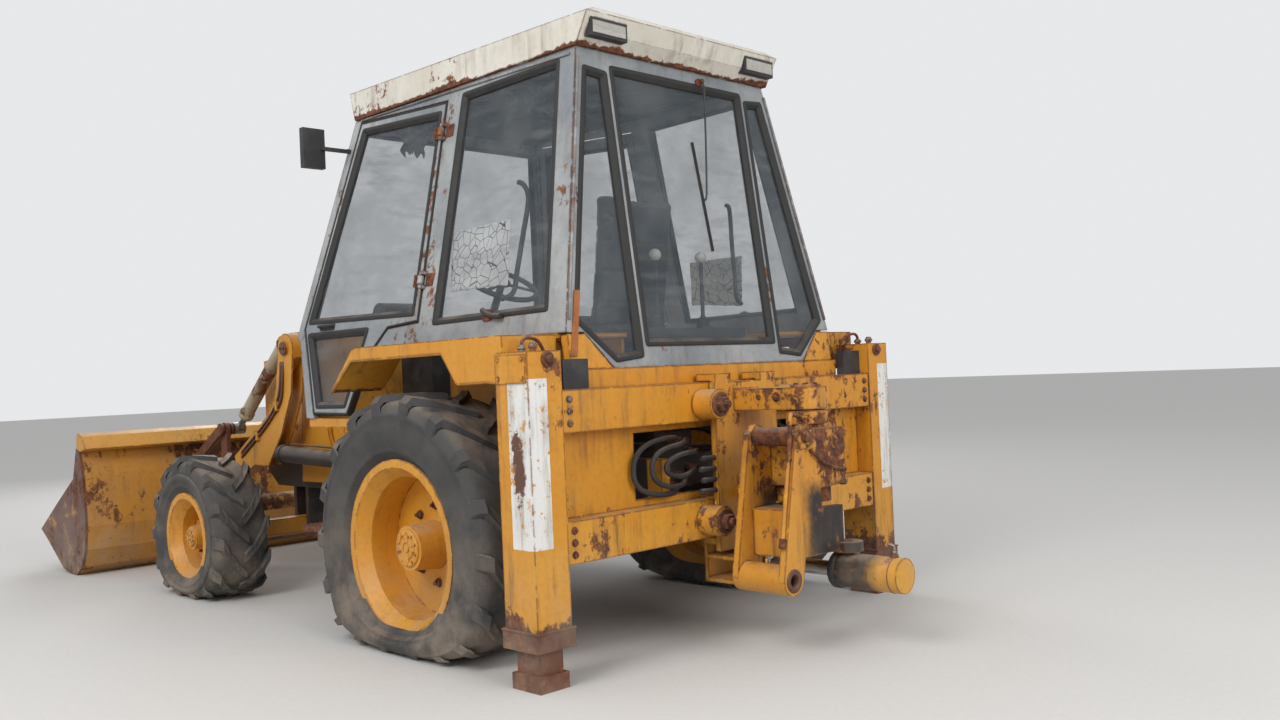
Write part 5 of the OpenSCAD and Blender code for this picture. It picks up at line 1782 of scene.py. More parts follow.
@dataclass
class Cushion:
    """A foam cushion: its box before it leans, and the seams sewn across it."""

    name: str
    low: Point
    high: Point
    pivot: Point
    lean: float
    up_axis: int
    seams: tuple[float, ...]
    voxel: float = 0.006
    inset: float = 0.012
    cap: float = 0.022
    frames: int = 20
    groove: float = 0.007
    groove_w: float = 0.009
    round_r: float = 0.028
    pressure: float = 4.0
    fill: float = 0.55

    def core(self) -> bpy.types.Object:
        """Make the foam's rounded box and remesh it finely."""
        low = [a + self.inset for a in self.low]
        high = [b - self.inset for b in self.high]
        blank = bpy.data.objects.new(self.name + "_core", mesh_of(self.name + "_core", *block(low, high)))
        link(blank)
        round_edges = blank.modifiers.new("round", "BEVEL")
        round_edges.width, round_edges.segments = self.round_r, 5
        remesh = blank.modifiers.new("remesh", "REMESH")
        remesh.mode, remesh.voxel_size = "VOXEL", self.voxel
        return blank

    def bake(self, item: bpy.types.Object) -> bpy.types.Mesh:
        """Return an object's mesh with its modifiers applied."""
        bpy.context.view_layer.update()
        return bpy.data.meshes.new_from_object(item.evaluated_get(bpy.context.evaluated_depsgraph_get()))

    def swollen(self, mesh: bpy.types.Mesh) -> bpy.types.Mesh:
        """Blow the foam up with Cloth, with each point's move capped.

        Args:
            mesh: The remeshed foam.

        Returns:
            The same mesh with its points moved.
        """
        item = bpy.data.objects.new(self.name + "_cloth", mesh)
        link(item)
        cloth = item.modifiers.new("cloth", "CLOTH")
        cloth.settings.use_pressure = True
        cloth.settings.uniform_pressure_force = self.pressure
        cloth.settings.effector_weights.gravity = 0.0
        cloth.point_cache.frame_start, cloth.point_cache.frame_end = 1, self.frames
        for frame in range(1, self.frames + 1):
            bpy.context.scene.frame_set(frame)
        after = self.bake(item)
        for old, new in zip(mesh.vertices, after.vertices):
            move = new.co - old.co
            old.co += move * min(1.0, self.cap / max(move.length, 1e-6))
        bpy.context.scene.frame_set(1)
        bpy.data.objects.remove(item)
        return mesh

    def build(self, node: str) -> bpy.types.Object:
        """Make the cushion with its seams.

        Args:
            node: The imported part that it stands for.

        Returns:
            The piece.
        """
        blank = self.core()
        mesh = self.bake(blank)
        bpy.data.objects.remove(blank)
        mesh = self.swollen(mesh)
        turn = Matrix.Translation(self.pivot) @ Matrix.Rotation(math.radians(self.lean), 4, "Y")
        axis = self.up_axis
        across_axis = 0 if axis == 2 else 2
        middle = (self.low[axis] + self.high[axis]) / 2
        for vertex in mesh.vertices:
            co = vertex.co
            for i in range(3):
                co[i] = min(max(co[i], self.low[i] + 0.001), self.high[i] - 0.001)
            for seam in self.seams:
                sink = self.groove * math.exp(-((co[across_axis] - seam) / self.groove_w) ** 2)
                co[axis] += sink if co[axis] < middle - 0.02 and axis == 0 else 0.0
                co[axis] -= sink if co[axis] > middle + 0.02 else 0.0
        mesh.transform(Matrix.Translation(at(0, 0, 0)) @ turn)
        for face in mesh.polygons:
            face.use_smooth = True
        piece = finish_piece(self.name, mesh, Finish.SEAT)
        fine = piece.modifiers.new("fine", "SUBSURF")
        fine.levels = fine.render_levels = 1
        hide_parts(node)
        return piece


@dataclass
class Cabin:
    """Everything inside the cab: seat, knobs, dials, rails, lining and the sheets in the windows."""

    knob_r: float = 0.0272
    lever_x: float = -0.640
    lever_y: float = 0.150
    knob_z: float = 1.659
    dial_r: float = 0.038
    dials_x: float = 0.6998
    dials_y: tuple[float, ...] = (-0.24, -0.12, 0.12, 0.24)
    dials_z: float = 1.385
    wheel_hub: Point = (0.640, 0.0, 1.640)
    wheel_lean: float = -30.0
    boot_z: float = 1.330
    cloth_steps: int = 36
    cloth_thick: float = 0.0012
    pane_h: float = -0.0245
    lining_z: float = 2.484

    def seat(self) -> None:
        """Make the seat's two cushions."""
        Cushion("seat_cushion", (-0.230, -0.250, 1.3003), (0.250, 0.250, 1.420), (0, 0, 0), 0, 2,
                (-0.10, 0.01, 0.12)).build("seat")
        Cushion("seat_backrest", (0.0, 0.0, 0.0), (0.110, 0.480, 0.640), (-0.350, -0.240, 1.330), -8.0, 0,
                (0.14, 0.28, 0.42)).build("seat")

    def knobs(self) -> None:
        """Make the levers' white knobs and rubber boots."""
        for side in Side:
            word, y = side.word, self.lever_y * side.value
            r = self.knob_r
            ball = [(0.0, -r)] + [(r * math.sin(t * math.pi / 12), -r * math.cos(t * math.pi / 12))
                                  for t in range(1, 12)]
            shape = turned([*ball, (0.0, r)], at(self.lever_x, y, self.knob_z), UP, 24)
            make(f"lever_knob_{word}", shape, Finish.KNOB, smooth=True)
            rings = [(0.0095, 0.0)]
            for k in range(5):
                rings += [(0.038 - 0.004 * k, 0.004 + 0.011 * k), (0.030 - 0.004 * k, 0.011 + 0.011 * k)]
            boot = turned([(0.044, 0.0005), *rings[1:], (0.0095, 0.062)], at(self.lever_x, y, self.boot_z),
                          UP, 24)
            make(f"lever_boot_{word}", boot, Finish.SEAL, smooth=True)

    def dials(self) -> None:
        """Make the dials on the console's face and the wheel's cap."""
        slope = Vector((-1.0, 0, 0))
        foot = Vector(at(self.dials_x, 0, self.dials_z))
        for k, y in enumerate(self.dials_y):
            spot = foot + Vector((0, y, 0))
            r = self.dial_r
            ring = turned([(r * 0.86, 0.0), (r, 0.0), (r, 0.009), (r * 0.93, 0.012), (r * 0.86, 0.009)],
                          spot, slope, 28)
            make(f"dial_ring_{k}", ring, Finish.BOLT, smooth=True, slot="plastic_black")
            face = turned([(0, 0.0004), (r * 0.86, 0.0004), (r * 0.86, 0.004), (0, 0.004)], spot, slope, 28)
            hand = block((-0.001, 0, 0), (0.001, 0.024, 0.0015))
            turn = slope.to_track_quat("Z", "Y").to_matrix().to_4x4()
            points = [tuple(spot + turn @ (Vector(p) + Vector((0, 0, 0.0042)))) for p in hand[0]]
            make(f"dial_face_{k}", merged(face, (points, hand[1])), Finish.KNOB if k % 2 else Finish.BLACK)
        lean = math.radians(self.wheel_lean)
        axis = Vector((math.sin(lean), 0, math.cos(lean)))
        cap = turned([(0, 0.012), (0.042, 0.012), (0.044, 0.018), (0.036, 0.028), (0, 0.031)],
                     at(*self.wheel_hub), axis, 32)
        make("wheel_cap", cap, Finish.BLACK, smooth=True)

    def rails(self) -> None:
        """Make the grab rails beside the rear windows."""
        for side in Side:
            route = [(-0.36, 0.728, 1.975), (-0.385, 0.700, 1.960), (-0.400, 0.690, 1.900),
                     (-0.385, 0.712, 1.760), (-0.370, 0.742, 1.600), (-0.360, 0.760, 1.505),
                     (-0.345, 0.782, 1.475)]
            route = [(x, y - 0.030 if i not in (0, 6) else side_in(z) + 0.004, z)
                     for i, (x, y, z) in enumerate(route)]
            path = smooth_path([across(side, *p) for p in route], 5)
            make(f"grab_rail_{side.word}", tube(path, 0.011, 12), Finish.BLACK, smooth=True)

    def cloth(self, name: str, outline: tuple[Point, Point, Point, Point], sag: float, finish: Finish,
              held: str, rests: list[str], torn: float = 0.0) -> None:
        """Args:
            name: The piece's name.
            outline: The corners in turn.
            sag: How far its waves stand out.
            finish: Its finish.
            held: How it is held; not used.
            rests: The parts that it hangs from; not used.
            torn: How ragged its edge is.
        """
        a, b, c, d = (Vector(p) for p in outline)
        normal = (b - a).cross(d - a).normalized()
        n = self.cloth_steps
        points: list[Point] = []
        for i in range(n + 1):
            for j in range(n + 1):
                u, v = i / n, j / n
                wave = math.sin(3.1 * u + 4.3 * v) * math.sin(5.2 * v - 2.1 * u + 0.7)
                wave += 0.4 * math.sin(13 * u + 9 * v)
                edge = 1 + torn * 0.5 * (math.sin(17 * u) * math.sin(11 * u + 1.0) - 1) if v > 0.5 else 1.0
                v2 = 0.5 + (v - 0.5) * edge
                spot = (a * (1 - u) + b * u) * (1 - v2) + (d * (1 - u) + c * u) * v2
                points.append(tuple(spot + normal * sag * wave * 0.5))
        faces = [(i * (n + 1) + j, (i + 1) * (n + 1) + j, (i + 1) * (n + 1) + j + 1, i * (n + 1) + j + 1)
                 for i in range(n) for j in range(n)]
        mesh = mesh_of(name, points, faces, True)
        piece = finish_piece(name, mesh, finish)
        thick = piece.modifiers.new("thick", "SOLIDIFY")
        thick.thickness = self.cloth_thick

    def sheets(self) -> None:
        """Make the sheets in the side windows and the torn lining under the roof."""
        left, right = side_face(Side.LEFT), side_face(Side.RIGHT)
        h, z = self.pane_h, self.lining_z
        self.cloth("window_sheet_left",
                   (left.spot(-0.052, 1.808, h), left.spot(0.352, 1.822, h), left.spot(0.393, 1.532, h),
                    left.spot(-0.012, 1.538, h)), 0.004, Finish.PAPER, "hung", ["cab_glass"], 0.05)
        self.cloth("window_sheet_right", (right.spot(-0.395, 1.722, h), right.spot(-0.034, 1.721, h),
                                          right.spot(0.008, 1.494, h), right.spot(-0.337, 1.469, h)), 0.004,
                   Finish.PAPER, "hung", ["cab_glass"], 0.05)
        self.cloth("roof_lining", (at(-0.600, 0.520, z), at(0.930, 0.520, z), at(0.930, -0.520, z),
                                   at(-0.600, -0.520, z)), 0.020, Finish.LINING, "stretched", ["roof"])
        self.cloth("lining_flap_front",
                   (at(0.520, 0.500, 2.478), at(0.860, 0.480, 2.478), at(0.800, 0.470, 2.280),
                    at(0.560, 0.500, 2.240)), 0.040, Finish.LINING, "hung", ["roof_lining"], 0.5)
        self.cloth("lining_flap_rear",
                   (at(-0.480, 0.470, 2.478), at(-0.060, 0.500, 2.478), at(-0.120, 0.490, 2.330),
                    at(-0.500, 0.440, 2.210)), 0.040, Finish.LINING, "hung", ["roof_lining"], 0.5)

    def build(self) -> None:
        """Make the cab's inside."""
        self.seat()
        self.knobs()
        self.dials()
        self.rails()
        self.sheets()


def side_in(z: float) -> float:
    """Give the inner face of the cab's side frame at a height."""
    return 0.613 + (2.464 - z) * math.tan(math.radians(SIDE_LEAN)) - 0.040 / math.cos(math.radians(SIDE_LEAN))


# The machine's back


@dataclass
class BackDress:
    """Caps, bosses, pipes and bolts on the back frame and its housings."""

    face_x: float = -0.957
    front_x: float = -0.772
    side_y: float = 1.165
    width: float = 0.163
    top: float = 1.238
    play: float = 0.0003
    boss: tuple[float, float] = (1.070, 1.206)
    ports_y: float = 1.090

    def housing(self, side: Side) -> None:
        """Dress one stabiliser housing.

        Args:
            side: Its side.
        """
        word, s = side.word, side.value
        y0, y1 = sorted((s * (self.side_y + 0.0003), s * (self.side_y + 0.007)))
        plate_box = block(at(-0.952, y0, 1.122), at(-0.778, y1, 1.228))
        bolts = [rod(across(side, x, self.side_y + 0.0065, z), across(side, x, self.side_y + 0.0115, z),
                     0.009, 6) for x in (-0.935, -0.795) for z in (1.140, 1.210)]
        make(f"housing_plate_{word}", merged(plate_box, *bolts), Finish.BODY, bevel=0.002, slot="frame_paint")
        boss = [rod(across(side, self.face_x + 0.001, *self.boss),
                    across(side, self.face_x - 0.010, *self.boss), 0.030, 28),
                rod(across(side, self.face_x - 0.009, *self.boss),
                    across(side, self.face_x - 0.024, *self.boss), 0.017, 6)]
        make(f"housing_boss_{word}", merged(*boss), Finish.RUSTY, bevel=0.0015)
        ports = []
        for x, h in ((-0.905, 0.034), (-0.840, 0.026)):
            ports += [rod(across(side, x, self.ports_y, self.top - 0.001),
                          across(side, x, self.ports_y, self.top + h), 0.013, 20),
                      rod(across(side, x, self.ports_y, self.top + h * 0.3),
                          across(side, x, self.ports_y, self.top + h * 0.75), 0.019, 6)]
        make(f"housing_ports_{word}", merged(*ports), Finish.BOLT, bevel=0.001)
        self.collar(side)
        route = [(-0.840, 1.090, 1.262), (-0.840, 1.086, 1.278), (-0.838, 1.062, 1.290),
                 (-0.830, 1.010, 1.282), (-0.822, 0.975, 1.250), (-0.820, 0.955, 1.200),
                 (-0.820, 0.935, 1.150), (-0.820, 0.905, 1.128), (-0.820, 0.861, 1.125)]
        make(f"housing_pipe_{word}", tube(smooth_path([across(side, *p) for p in route], 4), 0.007, 10),
             Finish.RUSTY, smooth=True)

    def collar(self, side: Side) -> None:
        """Make the collar round a housing's foot, with its bright upper lip.

        Args:
            side: Its side.
        """
        word, s = side.word, side.value
        x0, x1, y0, y1 = self.face_x, self.front_x, self.side_y - self.width, self.side_y
        shapes = []
        for grow, low, high in ((0.009, 0.1502, 0.216), (0.012, 0.2155, 0.2235)):
            ring = oblong(x0 - grow, x1 + grow, y0 - grow, y1 + grow)
            hole = oblong(x0 - self.play, x1 + self.play, y0 - self.play, y1 + self.play)
            points = [at(x, s * y, z) for z in (low, high) for loop in (ring, hole) for x, y in loop]
            faces = []
            for k in range(4):
                n = (k + 1) % 4
                faces += [(k, n, 4 + n, 4 + k), (8 + k, 8 + n, 12 + n, 12 + k), (k, n, 8 + n, 8 + k),
                          (4 + k, 4 + n, 12 + n, 12 + k)]
            shapes.append((points, faces))
        make(f"housing_collar_{word}", merged(*shapes), Finish.RUSTY, bevel=0.0015)

    def rails(self) -> None:
        """Make the rows of bolts at the ends of the slide rails."""
        for label, z in (("upper", 1.010), ("lower", 0.522)):
            for side in Side:
                head = bolt_head(Axis.X, 0.012, 0.010)
                head.transform(Matrix.Rotation(math.pi, 4, "Z"))
                name = f"rail_bolts_{label}_{side.word}"
                mesh = Repeats.mesh(name, head, 3, Finish.BOLT, across(side, -0.950, 0.965, z - 0.045),
                                    shift=(0, 0, 0.045))
                finish_piece(name, mesh, Finish.BOLT)

    def build(self) -> None:
        """Dress both housings and the rails."""
        for side in Side:
            self.housing(side)
        self.rails()


@dataclass
class CarriageDress:
    """Bolts, nipples and capped hose ends on the carriage."""

    shift: float = -0.020
    half: float = 0.205
    clamp_out: float = 0.050
    slew_x: float = -1.300
    slew_top: float = 1.055
    ends_x: float = -0.970
    ends_z: tuple[float, ...] = (0.775, 0.730, 0.685, 0.640)
    rails_z: tuple[float, float] = (1.000, 0.520)

    @property
    def clamp_places(self) -> list[tuple[float, float]]:
        """The clamps' places across the machine and up."""
        return [(self.shift + s * (self.half + self.clamp_out), z) for s in (-1, 1) for z in self.rails_z]

    def flange(self) -> None:
        """Make the flange round the upper slew pin and its ring of bolts."""
        disc = turned([(0.0312, 0.0002), (0.062, 0.0002), (0.062, 0.0075), (0.059, 0.0100), (0.0312, 0.0100),
                       (0.0312, 0.0002)], at(self.slew_x, self.shift, self.slew_top), UP, 40)
        make("slew_flange", disc, Finish.ARMS, "carriage")
        head = bolt_head(Axis.Z, 0.0075, 0.007, 1.1)
        head.transform(Matrix.Translation((0.046, 0, 0)))
        mesh = Repeats.mesh("slew_flange_bolts", head, 6, Finish.BOLT,
                            at(self.slew_x, self.shift, self.slew_top + 0.010), (0, 0, math.pi / 3))
        finish_piece("slew_flange_bolts", mesh, Finish.BOLT, "carriage")

    def clamps(self) -> None:
        """Make the clamps' face rings and their large nuts."""
        shapes = []
        for y, z in self.clamp_places:
            spot, way = at(-1.055, y, z), BACK
            shapes += [turned([(0, 0.0003), (0.052, 0.0003), (0.052, 0.006), (0.047, 0.0095), (0, 0.0095)],
                              spot, way, 36), turned([(0, 0.009), (0.033, 0.009), (0.033, 0.030),
                                                      (0.029, 0.034), (0.017, 0.034), (0.017, 0.050),
                                                      (0.014, 0.052), (0, 0.052)], spot, way, 6)]
        make("clamp_nuts", merged(*shapes), Finish.RUSTY, "carriage", bevel=0.0012)

    def ends(self) -> None:
        """Make the capped hose ends that stand out of the carriage's left edge."""
        rows = []
        for k, z in enumerate(self.ends_z):
            y0, reach = self.shift + self.half - 0.001, 0.085 + 0.012 * (k % 2)
            rows += [rod(at(self.ends_x, y0, z), at(self.ends_x, y0 + reach, z), 0.0105, 14),
                     rod(at(self.ends_x, y0 + 0.004, z), at(self.ends_x, y0 + 0.022, z), 0.0125, 6),
                     rod(at(self.ends_x, y0 + reach - 0.030, z), at(self.ends_x, y0 + reach - 0.004, z),
                         0.0125, 12)]
        make("carriage_hose_ends", merged(*rows), Finish.HOSE, "carriage", bevel=0.001)

    def nipples(self) -> None:
        """Make the brass nipples on the clamps and the bolts on the upper arm."""
        parts = []
        for y, z in self.clamp_places:
            foot = Vector(at(-1.010, y, z + 0.061))
            parts += [rod(tuple(foot), tuple(foot + Vector((0, 0, 0.016))), 0.006, 6),
                      rod(tuple(foot + Vector((0, 0, 0.012))), tuple(foot + Vector((0, 0, 0.026))), 0.0035,
                          10)]
        make("clamp_nipples", merged(*parts), Finish.BRASS, "carriage", bevel=0.0006)
        y = self.shift + 0.085
        bolts = [rod(at(-1.215, y - 0.001, 1.018), at(-1.215, y + 0.006, 1.018), 0.020, 20),
                 rod(at(-1.215, y + 0.005, 1.018), at(-1.215, y + 0.019, 1.018), 0.014, 6),
                 rod(at(-1.120, y - 0.001, 1.018), at(-1.120, y + 0.004, 1.018), 0.012, 20)]
        make("arm_bolts", merged(*bolts), Finish.BOLT, "carriage", bevel=0.001)

    def build(self) -> None:
        """Dress the carriage."""
        self.flange()
        self.clamps()
        self.ends()
        self.nipples()


@dataclass
class KingpostDress:
    """The pipe, pin keeper, fittings and bushes on the kingpost."""

    rear_x: float = -1.430
    pin_y: float = 0.185
    pin_z: float = 0.865
    foot_y: float = 0.280
    foot_z: float = 0.318
    steps: int = 72
    keeper_r: float = 0.050
    scallop: float = 0.005
    bore_r: float = 0.0228
    bolt_circle: float = 0.038

    def pin_spot(self, radius: float, angle: float) -> tuple[float, float]:
        """Give a place round the ram pin, across and up."""
        return self.pin_y + radius * math.cos(angle), self.pin_z + radius * math.sin(angle)

    def pipe(self) -> None:
        """Make the yellow pipe up the plate's edge and over its top, with the union nuts at its ends."""
        x = self.rear_x + 0.015
        route = [(x, 0.326, 0.455), (x, 0.316, 0.500), (x, 0.306, 0.560), (x, 0.287, 0.660),
                 (x, 0.268, 0.760), (x, 0.253, 0.840), (x - 0.002, 0.248, 0.890), (x + 0.004, 0.240, 0.930),
                 (x + 0.020, 0.212, 0.952), (x + 0.040, 0.165, 0.950), (x + 0.055, 0.110, 0.938),
                 (x + 0.060, 0.082, 0.920), (x + 0.060, 0.078, 0.889)]
        path = smooth_path([at(*p) for p in route], 5)
        make("kingpost_pipe", tube(path, 0.0085, 12), Finish.ARMS, "kingpost", smooth=True)
        nuts = [rod(at(x, 0.3275, 0.447), at(x, 0.3185, 0.485), 0.0145, 6),
                rod(at(x + 0.060, 0.078, 0.889), at(x + 0.060, 0.080, 0.912), 0.0155, 6)]
        make("kingpost_unions", merged(*nuts), Finish.BOLT, "kingpost", bevel=0.001)

    def keeper(self) -> None:
        """Make the scalloped keeper plate and the bolts at the ram pin's ends."""
        turns = [math.tau * k / self.steps for k in range(self.steps)]
        outline = [self.pin_spot(self.keeper_r + self.scallop * math.cos(6 * t), t) for t in turns]
        bore = [self.pin_spot(self.bore_r, t) for t in turns]
        points = [at(x, y, z) for x in (self.rear_x - 0.0003, self.rear_x - 0.009)
                  for loop in (outline, bore) for y, z in loop]
        faces = []
        rows = [k * self.steps for k in range(4)]
        for k in range(self.steps):
            n = (k + 1) % self.steps
            for a, b in ((0, 1), (2, 3), (0, 2), (1, 3)):
                faces.append((rows[a] + k, rows[a] + n, rows[b] + n, rows[b] + k))
        make("pin_keeper", (points, faces), Finish.ARMS, "kingpost", bevel=0.001)
        bolts = [rod(at(self.rear_x - 0.0085, y, z), at(self.rear_x - 0.017, y, z), 0.0075, 6)
                 for y, z in (self.pin_spot(self.bolt_circle, t) for t in (0.6, 2.6, 4.4))]
        cap = turned([(0, 0), (0.0215, 0), (0.0215, 0.004), (0.012, 0.008), (0, 0.009)],
                     at(self.rear_x - 0.0252, self.pin_y, self.pin_z), BACK, 24)
        make("pin_bolts", merged(cap, *bolts), Finish.BOLT, "kingpost", bevel=0.0008)

    def fittings(self) -> None:
        """Make the capped elbows on the kingpost's right face, black with oil, and the bent pipe by them."""
        shapes = []
        for k, (x, z) in enumerate(((-1.375, 0.850), (-1.325, 0.820), (-1.375, 0.775), (-1.325, 0.745),
                                    (-1.375, 0.705))):
            y = -0.0795
            shapes += [rod(at(x, y, z), at(x, y - 0.030, z), 0.0165, 6),
                       tube(smooth_path([at(x, y - 0.028, z), at(x, y - 0.046, z - 0.002),
                                         at(x, y - 0.062, z - 0.014), at(x, y - 0.066, z - 0.040)], 4),
                            0.0115, 12), rod(at(x, y - 0.066, z - 0.034),
                                             at(x, y - 0.067, z - 0.060 - 0.006 * (k % 2)), 0.0155, 6)]
        make("kingpost_elbows", merged(*shapes), Finish.BLACK, "kingpost", bevel=0.001, slot="rusty_steel")
        x = self.rear_x - 0.008
        route = [(x + 0.004, 0.150, 0.812), (x - 0.004, 0.128, 0.792), (x - 0.006, 0.085, 0.762),
                 (x - 0.006, 0.020, 0.736), (x - 0.006, -0.045, 0.722), (x + 0.002, -0.082, 0.716),
                 (x + 0.030, -0.100, 0.712), (x + 0.063, -0.096, 0.706)]
        make("kingpost_bent_pipe", tube(smooth_path([at(*p) for p in route], 5), 0.0065, 10), Finish.RUSTY,
             "kingpost", smooth=True)

    def bushes(self) -> None:
        """Make the rusty bushes in the foot's ends and the nipple over them."""
        for k, (x, way) in enumerate(((-1.4305, -1), (-1.1695, 1))):
            sleeve = [(0.0245, -0.040), (0.0268, -0.040), (0.0268, -0.0003), (0.046, -0.0003),
                      (0.046, 0.0025), (0.043, 0.005), (0.027, 0.005), (0.0245, 0.003), (0.0245, -0.040)]
            shape = turned(sleeve, at(x, self.foot_y, self.foot_z), Vector((way, 0, 0)), 40)
            make(f"foot_bush_{k}", shape, Finish.RUSTY, "kingpost", smooth=True)
        top = Vector(at(-1.300, self.foot_y, self.foot_z + 0.057))
        make("foot_nipple", merged(rod(tuple(top), tuple(top + Vector((0, 0, 0.018))), 0.008, 6),
                                   rod(tuple(top + Vector((0, 0, 0.014))),
                                       tuple(top + Vector((0, 0, 0.028))), 0.004, 10)), Finish.BRASS,
             "kingpost", bevel=0.0006)

    def build(self) -> None:
        """Dress the kingpost."""
        self.pipe()
        self.keeper()
        self.fittings()
        self.bushes()


@dataclass
class SlewRamDress:
    """Ports, end ring and welds on the slew ram."""

    y: float = -0.080
    z: float = 0.306
    radius: float = 0.070
    ports_x: tuple[float, float] = (-1.650, -1.470)
    welds_x: tuple[float, float] = (-1.655, -1.560)

    def build(self) -> None:
        """Dress the ram."""
        top = self.z + self.radius
        ports = []
        for x in self.ports_x:
            ports += [rod(at(x, self.y, top - 0.006), at(x, self.y, top + 0.012), 0.017, 20),
                      rod(at(x, self.y, top + 0.010), at(x, self.y, top + 0.026), 0.0125, 6),
                      tube(smooth_path([at(x, self.y, top + 0.022), at(x, self.y, top + 0.036),
                                        at(x + 0.008, self.y, top + 0.046),
                                        at(x + 0.030, self.y, top + 0.050)], 4), 0.0075, 10)]
        make("slew_ports", merged(*ports), Finish.BOLT, "slew_barrel", bevel=0.001)
        weld = [(self.radius - 0.001, -0.004), (self.radius + 0.0022, 0.0), (self.radius - 0.001, 0.004)]
        rings = [turned([*weld, weld[0]], at(x, self.y, self.z), AHEAD, 48) for x in self.welds_x]
        make("slew_welds", merged(*rings), Finish.SLEW, "slew_barrel", smooth=True)
        r = self.radius
        gland = turned([(r - 0.002, -1.407), (r + 0.005, -1.405), (r + 0.005, -1.379), (r + 0.002, -1.3754),
                        (r - 0.002, -1.3754), (r - 0.002, -1.407)], at(0, self.y, self.z), AHEAD, 48)
        make("slew_gland", gland, Finish.BLACK, "slew_barrel", smooth=True, slot="ram_paint")


# The loader and the nose


